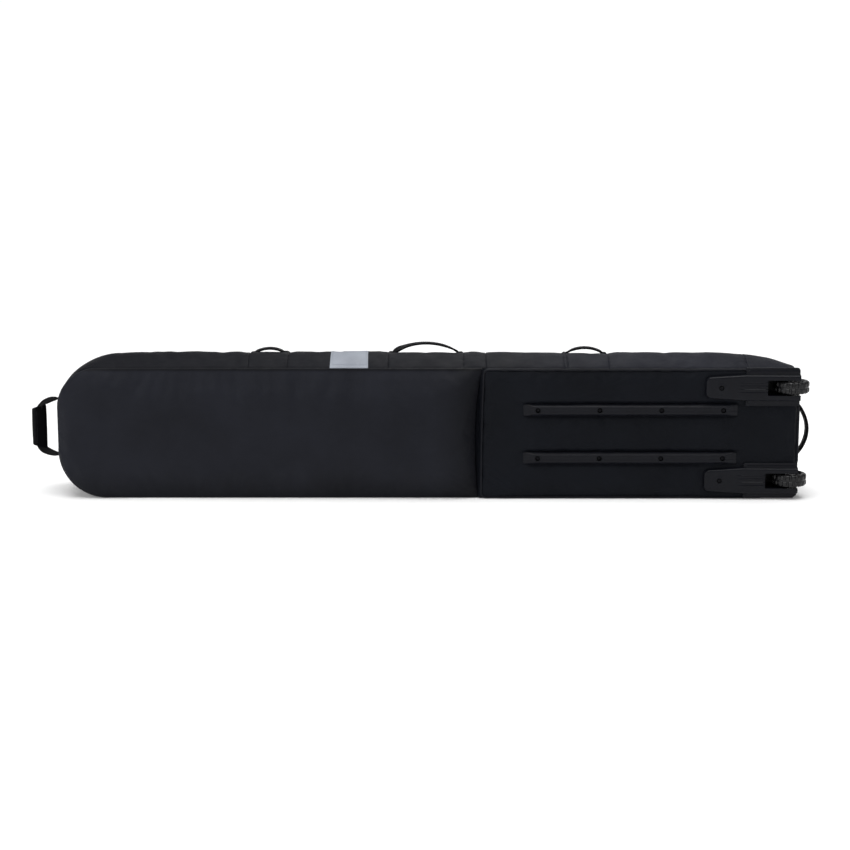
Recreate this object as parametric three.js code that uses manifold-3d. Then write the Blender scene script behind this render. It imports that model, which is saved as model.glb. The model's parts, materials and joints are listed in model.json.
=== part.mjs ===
// Wheeled snowboard bag, standing on its long side. Millimetres, +Z up.
// The nose points to -X and the wheeled tail to +X. The base, with its skid rails
// and wheels, faces -Y, and the zipped lid faces +Y and hinges on its lower edge.
import * as THREE from "three";
import { mergeVertices } from "three/addons/utils/BufferGeometryUtils.js";
import Module from "manifold-3d";

const wasm = await Module();
wasm.setup();

// ---- Driving dimensions ----
const GAP = 0.3; // clearance between neighbouring pieces
const NOSE_X = -848.5; // seam line at the nose
const TAIL_X = 879.5; // seam line at the tail
const SEAM_Z = 310; // seam line along the upper long side
const MID_Z = SEAM_Z / 2;
const WALL_FRONT_Y = -76; // the side walls run from the base panels ...
const WALL_BACK_Y = 66; // ... to the zip
const WALL = 5; // padded fabric wall
const NOSE_RADIUS = [95, 110]; // nose corners, at the base and at the lid
const TAIL_RADIUS = [22, 105]; // tail corners, square under the wheel housings
const CORNER_Y = -40; // the tail corners stay square back to here
const NOSE_CROSS_SEAM = -730; // where the end gussets meet the long ones
const TAIL_CROSS_SEAM = 766;
const TOP_CROWN = 14; // how far the padded walls swell between their seams
const NOSE_CROWN = 10;
const TAIL_CROWN = 6;

const BASE_Y = -89; // outer face of the base
const NOSE_SWELL = 14; // extra padding of the nose panel near the fold
const NOSE_PANEL_END = 133;
const TAIL_PANEL_START = 146;

const ZIP_TAPE = 7.9; // width of each side of the zip
const ZIP_BODY_Y = WALL_BACK_Y + GAP;
const ZIP_LID_Y = 74.8;
const LID_BAND_Y = [83, 97];
const LID_Y = [97.3, 108.3, 111]; // inner face, rim and crown of the lid panel
const LID_LOW_Z = 12.3; // lower edge of the lid

const RAIL_X = 491;
const RAIL_LENGTH = 499;
const RAIL_WIDTH = 27;
const RAIL_OFFSET = 57; // rails above and below the middle
const RAIL_RAMP = 25; // sloped end of a rail
const RAIL_FACE_Y = -100.5;
const RIVET_SPACING = 144;
const RIVET_HOLE = 2.5; // radius of a rivet's hole
const RIVET_SEAT = 6.2; // radius of the sunk seat round its head
const RIVET_HEAD_Y = [-94.8, -97.3]; // seat in a rail and in a wheel housing

const WHEEL_X = 869.5;
const WHEEL_Y = -71;
const WHEEL_RADIUS = 40;
const WHEEL_OFFSET = 110; // wheels above and below the middle
const SLOT_HALF = 18; // half height of the wheel slot
const SLOT_X = 808;
const CHEEK = 5.5; // wall of the wheel well
const HOUSING_X = 665;
const FLANGE_X = 758;
const FLANGE_HALF = 43;
const FLANGE_TAIL_X = 884.5;
const HOUSING_RIVET_X = 701;
const HOUSING_HALF = [19, 25, 31]; // half height at the tip, behind it and at the flange
const SEAT_Y = BASE_Y - 0.4; // back face of what is riveted to the base

const BOARD_Y = [-75.7, -73.3];
const LINER_Y = [-71.6, -70.4];
const STRAP_Y = [-70.1, -68.6];
const STRAP_WIDTH = 38;
const BUCKLE_HALF = 23;
const BUCKLE_Y = [-70.1, -59.1];
const BUCKLE_Z = [128.3, 170]; // socket
const BUCKLE_WALL = 2.7;
const TONGUE_HALF = 18;
const EDGE_Z = 6; // strap ends above the floor and below the upper seam

const HANDLE_Y = 20;
const HANDLE_FOOT = 12; // flat foot between a cross seam and the loop
const WEB_WIDTH = 25;
const WEB_THICK = 5;
const ROOT_WIDTH = 8; // webbing gathered where it enters a seam
const HANDLE_END_X = 923; // reach of the nose and tail handles
const GRIP_WIDTH = 35;
const GRIP_THICK = 18;
const LABEL_X = [-209, -122];
const SLIDER_X = [-180.5, -156.5]; // both zip sliders meet in the middle of the label

// ---- Shape helpers ----
const { lerp, clamp, degToRad } = THREE.MathUtils;
const point = (x, y, z) => new THREE.Vector3(x, y, z);
const steps = (count) => Array.from({ length: count + 1 }, (_, i) => i / count);

// Plane coordinates of a flat ring, for closing its end.
function flatten(ring) {
  const normal = point(0, 0, 0);
  ring.forEach((a, i) => normal.add(a.clone().cross(ring[(i + 1) % ring.length])));
  const size = normal.toArray().map(Math.abs);
  const drop = size.indexOf(Math.max(...size));
  const [u, v] = [0, 1, 2].filter((axis) => axis !== drop);
  return ring.map((p) => new THREE.Vector2(p.getComponent(u), p.getComponent(v)));
}

// Triangles that close the end of a loft, wound with its ring or against it.
function capFaces(ring, first, withRing) {
  const flat = flatten(ring);
  const turnOver = THREE.ShapeUtils.isClockWise(flat) === withRing;
  return THREE.ShapeUtils.triangulateShape(flat, []).flatMap((face) => {
    const own = face.map((i) => first + i);
    return turnOver ? own.reverse() : own;
  });
}

// Signed volume, positive when the faces point out.
function signedVolume(places, faces) {
  let total = 0;
  for (let i = 0; i < faces.length; i += 3) {
    const [a, b, c] = [0, 1, 2].map((k) => places[faces[i + k]]);
    total += a.dot(b.clone().cross(c));
  }
  return total;
}

// Closed solid through a row of rings.
function loft(rings) {
  const around = rings[0].length;
  const places = rings.flat();
  const faces = [];
  const final = rings.length - 1;
  for (let i = 0; i < final; i += 1) {
    const here = i * around;
    const next = here + around;
    for (let j = 0; j < around; j += 1) {
      const k = (j + 1) % around;
      faces.push(here + j, here + k, next + k, here + j, next + k, next + j);
    }
  }
  faces.push(...capFaces(rings[0], 0, false), ...capFaces(rings[final], final * around, true));
  if (signedVolume(places, faces) < 0) faces.reverse();
  const numbers = places.flatMap((p) => p.toArray());
  const geometry = new THREE.BufferGeometry();
  geometry.setAttribute("position", new THREE.Float32BufferAttribute(numbers, 3));
  geometry.setIndex(faces);
  return geometry;
}

// Rounded rectangle as [a, b] pairs.
function roundedRectangle(a0, a1, b0, b1, radius, count = 4) {
  const corners = [
    [a1 - radius, b0 + radius, -90],
    [a1 - radius, b1 - radius, 0],
    [a0 + radius, b1 - radius, 90],
    [a0 + radius, b0 + radius, 180],
  ];
  return corners.flatMap(([a, b, turn]) =>
    steps(count).map((t) => {
      const angle = degToRad(turn + 90 * t);
      return [a + radius * Math.cos(angle), b + radius * Math.sin(angle)];
    }),
  );
}

// Block with rounded corners that faces -Y. Each layer is [y, inset in X, inset in Z].
function plate([x0, x1], [z0, z1], radius, layers, count) {
  return loft(layers.map(([y, dx, dz]) =>
    roundedRectangle(x0 + dx, x1 - dx, z0 + dz, z1 - dz, radius, count)
      .map(([x, z]) => point(x, y, z))));
}

// Solid of revolution about an upright axis through (x, y), from [radius, z] pairs.
function turned(profile, x, y, z, segments = 24) {
  const pairs = profile.map(([r, h]) => new THREE.Vector2(r, h));
  return new THREE.LatheGeometry(pairs, segments).rotateX(Math.PI / 2).translate(x, y, z);
}

// The same about an axis along Y, from [radius, y] pairs.
function turnedAlongY(profile, x, z, segments = 12) {
  const pairs = profile.map(([r, y]) => new THREE.Vector2(r, y));
  return new THREE.LatheGeometry(pairs, segments).translate(x, 0, z);
}

function box([x0, x1], [y0, y1], [z0, z1]) {
  return new THREE.BoxGeometry(x1 - x0, y1 - y0, z1 - z0)
    .translate((x0 + x1) / 2, (y0 + y1) / 2, (z0 + z1) / 2);
}

// ---- Joining and cutting ----
function toSolid(geometry) {
  const bare = geometry.clone();
  bare.deleteAttribute("normal");
  bare.deleteAttribute("uv");
  const merged = mergeVertices(bare, 1e-4);
  const vertProperties = new Float32Array(merged.attributes.position.array);
  const index = new Uint32Array(merged.index.array);
  const triVerts = index.filter((_, i) => {
    const [a, b, c] = index.slice(i - (i % 3), i - (i % 3) + 3);
    return a !== b && b !== c && a !== c;
  });
  return new wasm.Manifold(new wasm.Mesh({ numProp: 3, vertProperties, triVerts }));
}

function toGeometry(solid) {
  const { vertProperties, triVerts } = solid.getMesh();
  const geometry = new THREE.BufferGeometry();
  geometry.setAttribute("position", new THREE.BufferAttribute(vertProperties, 3));
  geometry.setIndex(new THREE.BufferAttribute(triVerts, 1));
  return geometry;
}

const join = (...parts) => toGeometry(parts.map(toSolid).reduce((a, b) => a.add(b)));
const cut = (part, ...tools) =>
  toGeometry(tools.map(toSolid).reduce((a, b) => a.subtract(b), toSolid(part)));

const hole = (x, z, radius, y0, y1) =>
  new THREE.CylinderGeometry(radius, radius, y1 - y0, 12).translate(x, (y0 + y1) / 2, z);

// ---- Materials ----
const finish = (color, roughness, metalness = 0) =>
  new THREE.MeshStandardMaterial({ color, roughness, metalness, flatShading: true });
const shellFabric = finish(0x1d1e23, 0.6);
const baseFabric = finish(0x15171b, 0.55);
const lining = finish(0x3a3c42, 0.8);
const webbing = finish(0x121316, 0.75);
const gripFabric = finish(0x09090b, 0.7);
const labelCloth = finish(0x9ca3ac, 0.65);
const mouldedPlastic = finish(0x232428, 0.45);
const boardPlastic = finish(0x2b2d30, 0.5);
const rivetMetal = finish(0x2c2d31, 0.35, 0.8);
const steel = finish(0x8c8f94, 0.3, 1);
const tyreRubber = finish(0x2b2b2e, 0.5);
const zipTape = finish(0x111215, 0.7);

const bag = new THREE.Group();
function add(name, geometry, material) {
  const mesh = new THREE.Mesh(geometry, material);
  mesh.name = name;
  bag.add(mesh);
}

// ---- The bag's outline at a depth y, moved in by an inset ----
function sectionAt(y, inset) {
  const v = clamp((y - WALL_FRONT_Y) / (WALL_BACK_Y - WALL_FRONT_Y), 0, 1);
  const tailV = clamp((y - CORNER_Y) / (WALL_BACK_Y - CORNER_Y), 0, 1);
  const swell = 4 * v * (1 - v);
  return {
    nose: NOSE_X - NOSE_CROWN * swell + inset,
    tail: TAIL_X + TAIL_CROWN * 4 * tailV * (1 - tailV) - inset,
    low: inset,
    high: SEAM_Z + TOP_CROWN * swell - inset,
    noseRadius: lerp(...NOSE_RADIUS, v) - inset,
    tailRadius: lerp(...TAIL_RADIUS, tailV) - inset,
  };
}

// Up round one end, from the lower straight side to the upper one.
function endRun(y, inset, isTail, firstTurn = 0, count = 6) {
  const s = sectionAt(y, inset);
  const radius = isTail ? s.tailRadius : s.noseRadius;
  const x = isTail ? s.tail - radius : s.nose + radius;
  const across = isTail ? radius : -radius;
  const arc = (z, from, to) =>
    steps(count).map((t) => {
      const angle = degToRad(lerp(from, to, t));
      return point(x + across * Math.cos(angle), y, z + radius * Math.sin(angle));
    });
  return [...arc(s.low + radius, -90 + firstTurn, 0), ...arc(s.high - radius, 0, 90)];
}

// The same, from and to the cross seams where the end gusset meets the long ones.
function seamedRun(y, inset, isTail) {
  const s = sectionAt(y, inset);
  const x = isTail ? TAIL_CROSS_SEAM : NOSE_CROSS_SEAM;
  return [point(x, y, s.low), ...endRun(y, inset, isTail), point(x, y, s.high)];
}

const noseRun = (y, inset) => seamedRun(y, inset, false);
const tailRun = (y, inset) => seamedRun(y, inset, true);

// Along the upper or the lower long side, a gap short of both cross seams.
function sideRun(y, inset, isTop) {
  const { high, low } = sectionAt(y, inset);
  return steps(6).map((t) =>
    point(lerp(NOSE_CROSS_SEAM + GAP, TAIL_CROSS_SEAM - GAP, t), y, isTop ? high : low));
}

// Round the nose, the upper side and the tail, above the lid's lower edge.
function lidRun(y, inset) {
  const turn = (radius) => (Math.acos((radius - LID_LOW_Z) / radius) * 180) / Math.PI;
  const nose = endRun(y, inset, false, turn(NOSE_RADIUS[1]), 5);
  const tail = endRun(y, inset, true, turn(TAIL_RADIUS[1]), 5);
  return [...nose, ...tail.reverse()];
}

// A wall that follows a run, at the depths ys, from one inset to a deeper one.
function wall(run, ys, outerInset, innerInset) {
  const outer = ys.map((y) => run(y, outerInset));
  const inner = ys.map((y) => run(y, innerInset)).reverse();
  return loft(outer[0].map((_, i) => [...outer, ...inner].map((line) => line[i])));
}

const wallDepths = [WALL_FRONT_Y, CORNER_Y, -5, 30, WALL_BACK_Y];
const sides = [
  { side: "upper", z: MID_Z + WHEEL_OFFSET, rail: MID_Z + RAIL_OFFSET },
  { side: "lower", z: MID_Z - WHEEL_OFFSET, rail: MID_Z - RAIL_OFFSET },
];

// Room for a wheel well and its axle ends in whatever they pass through.
const WELL_ROOM = SLOT_HALF + CHEEK + 2.5;
const wellCutters = () => sides.map(({ z }) =>
  box([SLOT_X - 2.5, 920], [-120, WHEEL_Y + 48.3], [z - WELL_ROOM, z + WELL_ROOM]));

const railRivets = sides.flatMap(({ side, rail }) =>
  [-1.5, -0.5, 0.5, 1.5].map((n, i) => ({
    name: `rail_rivet_${side}_${i + 1}`,
    x: RAIL_X + n * RIVET_SPACING,
    z: rail,
  })));
const housingRivets = sides.map(({ side, z }) =>
  ({ name: `housing_rivet_${side}`, x: HOUSING_RIVET_X, z }));
const allRivets = [...railRivets, ...housingRivets];
const rivetHoles = (y0, y1) => allRivets.map(({ x, z }) => hole(x, z, RIVET_HOLE, y0, y1));

// ---- Shell of the bag ----
function addWalls() {
  const bottomDepths = [...wallDepths, LID_BAND_Y[1] - 1];
  add("top_gusset", wall((y, inset) => sideRun(y, inset, true), wallDepths, 0, WALL), shellFabric);
  add("bottom_gusset", wall((y, inset) => sideRun(y, inset, false), bottomDepths, 0, WALL), shellFabric);
  add("nose_gusset", wall(noseRun, wallDepths, 0, WALL), shellFabric);
  const tail = wall(tailRun, wallDepths, 0, WALL);
  add("tail_gusset", cut(tail, ...wellCutters()), shellFabric);
}

// Padding rises from nothing at an edge to its full height this far in.
const rise = (distance) => Math.sin((Math.PI / 2) * clamp(distance / 26, 0, 1));

function noseBasePanel() {
  const back = WALL_FRONT_Y - GAP;
  const radius = NOSE_RADIUS[0];
  const arc = steps(6).map((t) => {
    const angle = degToRad(90 * t);
    return [NOSE_X + radius * (1 - Math.cos(angle)), radius * (1 - Math.sin(angle))];
  });
  const straight = [-480, -240, 0, 80, 110, 126, NOSE_PANEL_END].map((x) => [x, 0]);
  return loft([...arc, ...straight].map(([x, low]) => {
    const high = SEAM_Z - low;
    const toFold = clamp((x - NOSE_X) / (NOSE_PANEL_END - NOSE_X), 0, 1);
    const endRise = rise(x - NOSE_X) * rise(NOSE_PANEL_END - x);
    const front = [0, 0.03, 0.09, 0.25, 0.5, 0.75, 0.91, 0.97, 1].map((t) => {
      const z = lerp(low, high, t);
      const sideRise = rise(Math.min(z - low, high - z));
      const swell = NOSE_SWELL * toFold * toFold * 4 * t * (1 - t);
      return point(x, -80 - (9 + swell) * sideRise * endRise, z);
    });
    return [...front, point(x, back, high), point(x, back, low)];
  }));
}

function tailBasePanel() {
  const layers = [[WALL_FRONT_Y - GAP, 1, 1], [-82, 1, 1], [BASE_Y, 8, 8]];
  const panel = plate([TAIL_PANEL_START, TAIL_X], [0, SEAM_Z], 14, layers, 4);
  return cut(panel, ...rivetHoles(-95, -70), ...wellCutters());
}

// Cord round the tail panel's edge, from one wheel housing to the other.
function tailPanelPiping() {
  const inset = 2.87;
  const y = -87.13;
  const [x0, x1] = [TAIL_PANEL_START + inset, 800];
  const corner = 10;
  const bend = (x, z, from) => steps(4).map((t) => {
    const angle = degToRad(from - 90 * t);
    return [x + corner * Math.cos(angle), z + corner * Math.sin(angle)];
  });
  const route = [
    [x1, inset],
    ...bend(x0 + corner, inset + corner, 270),
    ...bend(x0 + corner, SEAM_Z - inset - corner, 180),
    [x1, SEAM_Z - inset],
  ].map(([x, z]) => point(x, y, z));
  return tube(route, 2, 8);
}

// Round cord along a route that lies in an XZ plane.
function tube(route, radius, count) {
  const section = steps(count).slice(1).map((t) => {
    const angle = 2 * Math.PI * t;
    return [radius * Math.cos(angle), radius * Math.sin(angle)];
  });
  return ribbon(route, () => section);
}

// Sweeps a section, [out of the route, along Y] pairs, along a route in an XZ plane.
function ribbon(route, sectionFor) {
  return loft(route.map((p, i) => {
    const before = route[Math.max(i - 1, 0)];
    const after = route[Math.min(i + 1, route.length - 1)];
    const along = after.clone().sub(before).normalize();
    const out = point(-along.z, 0, along.x);
    return sectionFor(i / (route.length - 1)).map(([a, b]) =>
      point(p.x + out.x * a, p.y + b, p.z + out.z * a));
  }));
}

// Webbing section that is gathered at both roots: size out of the route, then along Y.
const gathered = (out, alongY) => (along) => {
  const open = Math.min(1, 6 * Math.min(along, 1 - along));
  const [a, b] = [out, alongY].map((size) => lerp(Math.min(size, ROOT_WIDTH), size, open) / 2);
  return [[-a, -b], [-a, b], [a, b], [a, -b]];
};

// ---- Base: stiffener, skid rails and rivets ----
function addBase() {
  add("nose_base_panel", noseBasePanel(), baseFabric);
  add("tail_base_panel", tailBasePanel(), baseFabric);
  add("tail_panel_piping", tailPanelPiping(), webbing);

  const board = plate([170, 800], [12, SEAM_Z - 12], 12, BOARD_Y.map((y) => [y, 0, 0]), 3);
  add("stiffener_board", cut(board, ...rivetHoles(-80, -70)), boardPlastic);

  const linerRing = (y) => {
    const inset = WALL + 0.5;
    const flat = WALL_FRONT_Y;
    return [...noseRun(flat, inset), ...tailRun(flat, inset).reverse()].map((p) => point(p.x, y, p.z));
  };
  add("base_liner", cut(loft(LINER_Y.map(linerRing)), ...wellCutters()), lining);

  for (const { side, rail } of sides) {
    const acrossX = [RAIL_X - RAIL_LENGTH / 2, RAIL_X + RAIL_LENGTH / 2];
    const acrossZ = [rail - RAIL_WIDTH / 2, rail + RAIL_WIDTH / 2];
    const layers = [[SEAT_Y, 0, 0], [-93, 0, 0], [RAIL_FACE_Y, RAIL_RAMP, 5]];
    const bar = plate(acrossX, acrossZ, 3, layers, 2);
    const seats = railRivets.filter(({ z }) => z === rail);
    const bores = seats.map(({ x, z }) => hole(x, z, RIVET_SEAT, -110, RIVET_HEAD_Y[0] + GAP));
    const shanks = seats.map(({ x, z }) => hole(x, z, RIVET_HOLE, -110, -80));
    add(`skid_rail_${side}`, cut(bar, ...bores, ...shanks), mouldedPlastic);
  }

  const [railSeat, housingSeat] = RIVET_HEAD_Y;
  for (const { name, x, z } of railRivets) add(name, rivet(x, z, railSeat), rivetMetal);
  for (const { name, x, z } of housingRivets) add(name, rivet(x, z, housingSeat), rivetMetal);
}

// Rivet with a domed head that rests at headY and a peened end behind the board.
function rivet(x, z, headY) {
  return turnedAlongY([
    [0, headY - 2.4],
    [2.8, headY - 2.1],
    [5, headY - 0.6],
    [5, headY],
    [2.2, headY],
    [2.2, -73],
    [4.3, -73],
    [4.3, -71.9],
    [0, -71.9],
  ], x, z, 10);
}

// ---- Wheel housings and wheels ----
function housingBody(z) {
  const [tip, shoulder, full] = HOUSING_HALF;
  const outline = (inset) => [
    [FLANGE_TAIL_X, full - inset],
    [FLANGE_X, full - inset],
    [HOUSING_X + 6, shoulder - inset],
    [HOUSING_X + inset, tip - inset],
    [HOUSING_X + inset, inset - tip],
    [HOUSING_X + 6, inset - shoulder],
    [FLANGE_X, inset - full],
    [FLANGE_TAIL_X, inset - full],
  ];
  const level = (y, slope, inset) => outline(inset).map(([x, h]) =>
    point(x, y - (slope * (x - HOUSING_X)) / (FLANGE_TAIL_X - HOUSING_X), z + h));
  return loft([level(SEAT_Y, 0, 0), level(-95, 4, 0), level(-99, 4, 4)]);
}

function wheelHousing(z) {
  const half = FLANGE_HALF;
  const reach = [z - half, z + half];
  const well = SLOT_HALF + CHEEK;
  const layers = [[SEAT_Y, 0, 0], [-92, 0, 0], [-93.5, 1.5, 1.5]];
  const flange = plate([FLANGE_X, FLANGE_TAIL_X], reach, 8, layers);
  const tailRing = (x, inset) =>
    roundedRectangle(-93 + inset, CORNER_Y - inset, z - half + inset, z + half - inset, 6)
      .map(([y, h]) => point(x, y, h));
  const tailRings = [[TAIL_X + GAP, 0], [FLANGE_TAIL_X - 1.5, 0], [FLANGE_TAIL_X, 1.5]];
  const tailPlate = loft(tailRings.map(([x, inset]) => tailRing(x, inset)));
  const wellBox = box([SLOT_X - 2, TAIL_X + 2], [-92, WHEEL_Y + 48], [z - well, z + well]);
  const whole = join(housingBody(z), flange, tailPlate, wellBox);
  const slot = box([SLOT_X, 920], [-140, WHEEL_Y + 44], [z - SLOT_HALF, z + SLOT_HALF]);
  const axleHole = turned([[0, -40], [4.05, -40], [4.05, 40], [0, 40]], WHEEL_X, WHEEL_Y, z);
  const rivetSeat = hole(HOUSING_RIVET_X, z, RIVET_SEAT, -120, RIVET_HEAD_Y[1] + GAP);
  const rivetHole = hole(HOUSING_RIVET_X, z, RIVET_HOLE, -120, -80);
  return cut(whole, slot, axleHole, rivetSeat, rivetHole);
}

// Closed outline of a ring from its upper half, [radius, height] pairs from the bore outwards.
function ringProfile(upper) {
  const lower = upper.map(([radius, h]) => [radius, -h]);
  return [...lower, ...[...upper].reverse(), lower[0]];
}

function addWheel(side, z) {
  const rim = WHEEL_RADIUS - 3;
  const tyre = ringProfile([[26.3, 11], [32, 14.5], [rim, 13], [WHEEL_RADIUS, 8]]);
  const hub = ringProfile([[11.3, 9.5], [15, 9.5], [17, 5], [22, 5], [26, 10]]);
  const bearing = ringProfile([[4.1, 3.5], [11, 3.5]]);
  const axle = [
    [0, -25.6], [7, -25.6], [7, -23.9], [3.75, -23.9],
    [3.75, 23.9], [6, 23.9], [6, 25.6], [0, 25.6],
  ];
  const put = (profile, dz = 0, segments = 20) => turned(profile, WHEEL_X, WHEEL_Y, z + dz, segments);
  add(`wheel_tyre_${side}`, put(tyre, 0, 28), tyreRubber);
  add(`wheel_hub_${side}`, put(hub), mouldedPlastic);
  add(`wheel_bearing_${side}_1`, put(bearing, -5.8, 12), steel);
  add(`wheel_bearing_${side}_2`, put(bearing, 5.8, 12), steel);
  add(`wheel_axle_${side}`, put(axle, 0, 16), steel);
}

function addWheels() {
  for (const { side, z } of sides) {
    add(`wheel_housing_${side}`, wheelHousing(z), mouldedPlastic);
    addWheel(side, z);
  }
}

// ---- Handles ----
// Webbing loop that stands on the top gusset, a foot's length inside two cross seams.
function haulHandle(seamX0, seamX1, peakZ) {
  const [x0, x1] = [seamX0 + HANDLE_FOOT, seamX1 - HANDLE_FOOT];
  const footZ = SEAM_Z + TOP_CROWN + 7;
  const route = steps(12).map((t) => {
    const shape = Math.sin(Math.PI * t) ** 0.7;
    return point(lerp(x0, x1, t), HANDLE_Y, lerp(footZ, peakZ - WEB_THICK / 2, shape));
  });
  return ribbon(route, gathered(WEB_THICK, WEB_WIDTH));
}

// Webbing loop that stands out of the tail between two root heights.
function tailHandle() {
  const [rootX, peakX] = [TAIL_X + TAIL_CROWN + 6, HANDLE_END_X - WEB_THICK / 2];
  const route = steps(12).map((t) =>
    point(lerp(rootX, peakX, Math.sin(Math.PI * t) ** 0.75), 0, lerp(85, 215, t)));
  return ribbon(route, gathered(WEB_THICK, WEB_WIDTH));
}

// Webbing loop at the nose, twisted so that its width and its wrapped grip face the base.
function noseHandle() {
  const gripX = -HANDLE_END_X + GRIP_WIDTH / 2;
  const route = [
    [-863.5, 90], [-876, 92], [-888, 96.5], [-899, 103], [gripX, 113],
    [gripX, 200], [-899, 211], [-888, 217.5], [-876, 222], [-863.5, 224],
  ].map(([x, z]) => point(x, 0, z));
  const band = ribbon(route, gathered(WEB_WIDTH, 4));
  const half = GRIP_WIDTH / 2;
  const level = (z, tilt, inset) =>
    roundedRectangle(-half + inset, half - inset, -GRIP_THICK / 2 + inset, GRIP_THICK / 2 - inset, 5, 3)
      .map(([dx, y]) => point(gripX + dx, y, z + (tilt * dx) / half));
  const sleeve = loft([level(107.5, -4.5, 3), level(111, -4.5, 0), level(202, 4.5, 0), level(205.5, 4.5, 3)]);
  const tunnel = ribbon(route, () => [[-13.2, -2.5], [-13.2, 2.5], [13.2, 2.5], [13.2, -2.5]]);
  return { band, sleeve: cut(sleeve, tunnel) };
}

function addHandles() {
  add("haul_handle_nose", haulHandle(-402, -310, 343.5), webbing);
  add("haul_handle_middle", haulHandle(-74, 102, 356), webbing);
  add("haul_handle_tail", haulHandle(338, 443, 345), webbing);
  const { band, sleeve } = noseHandle();
  add("nose_handle_webbing", band, webbing);
  add("nose_handle_grip", sleeve, gripFabric);
  add("tail_handle", tailHandle(), webbing);
}

// ---- Label, zip and lid ----
function addLabel() {
  const run = (y, inset) => LABEL_X.map((x) => point(x, y, sectionAt(y, inset).high));
  add("label_patch", wall(run, [-75.5, CORNER_Y, -5, 30], -1.3, -0.3), labelCloth);
}

function addZip() {
  add("zip_tape_body", wall(lidRun, [ZIP_BODY_Y, ZIP_BODY_Y + ZIP_TAPE], 1.8, 3.4), zipTape);
  add("zip_tape_lid", wall(lidRun, [ZIP_LID_Y, ZIP_LID_Y + ZIP_TAPE], 1.8, 3.4), zipTape);
  for (const [i, side] of ["nose", "tail"].entries()) {
    const x = SLIDER_X[i];
    const body = box([x - 5.5, x + 5.5], [69, 80], [309.8, 312.8]);
    const bail = box([x - 1.5, x + 1.5], [70, 75.5], [312, 317]);
    add(`zip_slider_${side}`, join(body, bail), rivetMetal);
    add(`zip_pull_${side}`, zipPull(x), webbing);
  }
}

// Fork that straddles the slider's bail, then a flat tab.
function zipPull(x) {
  const half = [[2.3, 88], [2.3, 76.6], [4.6, 76.6], [4.6, 105], [3, 108]];
  const outline = [...half, ...half.map(([dx, y]) => [-dx, y]).reverse()];
  return loft([314.2, 316.2].map((z) => outline.map(([dx, y]) => point(x + dx, y, z))));
}

function addLid() {
  add("lid_band", wall(lidRun, LID_BAND_Y, 0, WALL), shellFabric);
  const [inner, rim, crown] = LID_Y;
  const layers = [[inner, 0], [104, 0], [rim, 6], [crown, 60]];
  add("lid_panel", loft(layers.map(([y, inset]) => lidRun(y, inset))), shellFabric);
  add("lid_liner", loft([94.8, 96.9].map((y) => lidRun(y, WALL + 0.5))), lining);
}

// ---- Straps that hold the board down inside ----
function addStrap(place, x) {
  const about = (half) => [x - half, x + half];
  const across = about(STRAP_WIDTH / 2);
  const wide = about(BUCKLE_HALF);
  const [back, front] = BUCKLE_Y;
  const [foot, mouthZ] = BUCKLE_Z;
  const mouthY = [back + BUCKLE_WALL, front - BUCKLE_WALL];
  const tongueY = [mouthY[0] + GAP, mouthY[1] - GAP];
  const headZ = [mouthZ + 0.4, 188];
  add(`strap_webbing_low_${place}`, box(across, STRAP_Y, [EDGE_Z, foot - GAP]), webbing);
  const socket = box(wide, BUCKLE_Y, BUCKLE_Z);
  const mouth = box(about(TONGUE_HALF + GAP), mouthY, [136, 180]);
  add(`strap_buckle_socket_${place}`, cut(socket, mouth), mouldedPlastic);
  const tongue = box(about(TONGUE_HALF), tongueY, [138, mouthZ + 2]);
  const head = box(wide, [back + 0.5, front - 0.5], headZ);
  add(`strap_buckle_tongue_${place}`, join(tongue, head), mouldedPlastic);
  add(`strap_webbing_high_${place}`, box(across, STRAP_Y, [headZ[1] + GAP, SEAM_Z - EDGE_Z]), webbing);
}

addWalls();
addBase();
addWheels();
addHandles();
addLabel();
addZip();
addLid();
addStrap("nose", -350);
addStrap("tail", 400);

export default bag;
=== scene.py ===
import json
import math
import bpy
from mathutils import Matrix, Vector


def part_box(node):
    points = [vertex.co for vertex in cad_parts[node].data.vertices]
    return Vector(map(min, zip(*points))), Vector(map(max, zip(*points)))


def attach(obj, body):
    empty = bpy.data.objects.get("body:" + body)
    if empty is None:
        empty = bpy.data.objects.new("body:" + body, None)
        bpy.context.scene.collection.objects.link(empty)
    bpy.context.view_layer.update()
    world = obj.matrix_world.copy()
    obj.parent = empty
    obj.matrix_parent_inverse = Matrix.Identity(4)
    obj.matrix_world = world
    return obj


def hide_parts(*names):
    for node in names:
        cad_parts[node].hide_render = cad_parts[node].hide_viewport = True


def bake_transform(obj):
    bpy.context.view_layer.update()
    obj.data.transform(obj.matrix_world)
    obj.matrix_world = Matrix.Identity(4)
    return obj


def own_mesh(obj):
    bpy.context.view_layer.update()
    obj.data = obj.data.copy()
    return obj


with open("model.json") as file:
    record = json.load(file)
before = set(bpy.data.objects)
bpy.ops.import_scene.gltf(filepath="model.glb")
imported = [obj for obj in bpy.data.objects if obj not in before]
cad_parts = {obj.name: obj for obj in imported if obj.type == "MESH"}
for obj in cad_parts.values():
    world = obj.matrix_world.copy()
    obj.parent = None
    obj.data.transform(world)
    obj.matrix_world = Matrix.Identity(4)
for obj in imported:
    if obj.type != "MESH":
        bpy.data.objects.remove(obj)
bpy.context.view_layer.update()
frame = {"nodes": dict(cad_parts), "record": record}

# Looks of a wheeled snowboard bag standing on its long side. Metres, +Z up.
# The nose points to -X, the wheeled base faces -Y and the zipped lid faces +Y.
from types import SimpleNamespace

import bmesh
import bpy
import numpy as np
from mathutils import Vector

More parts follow.
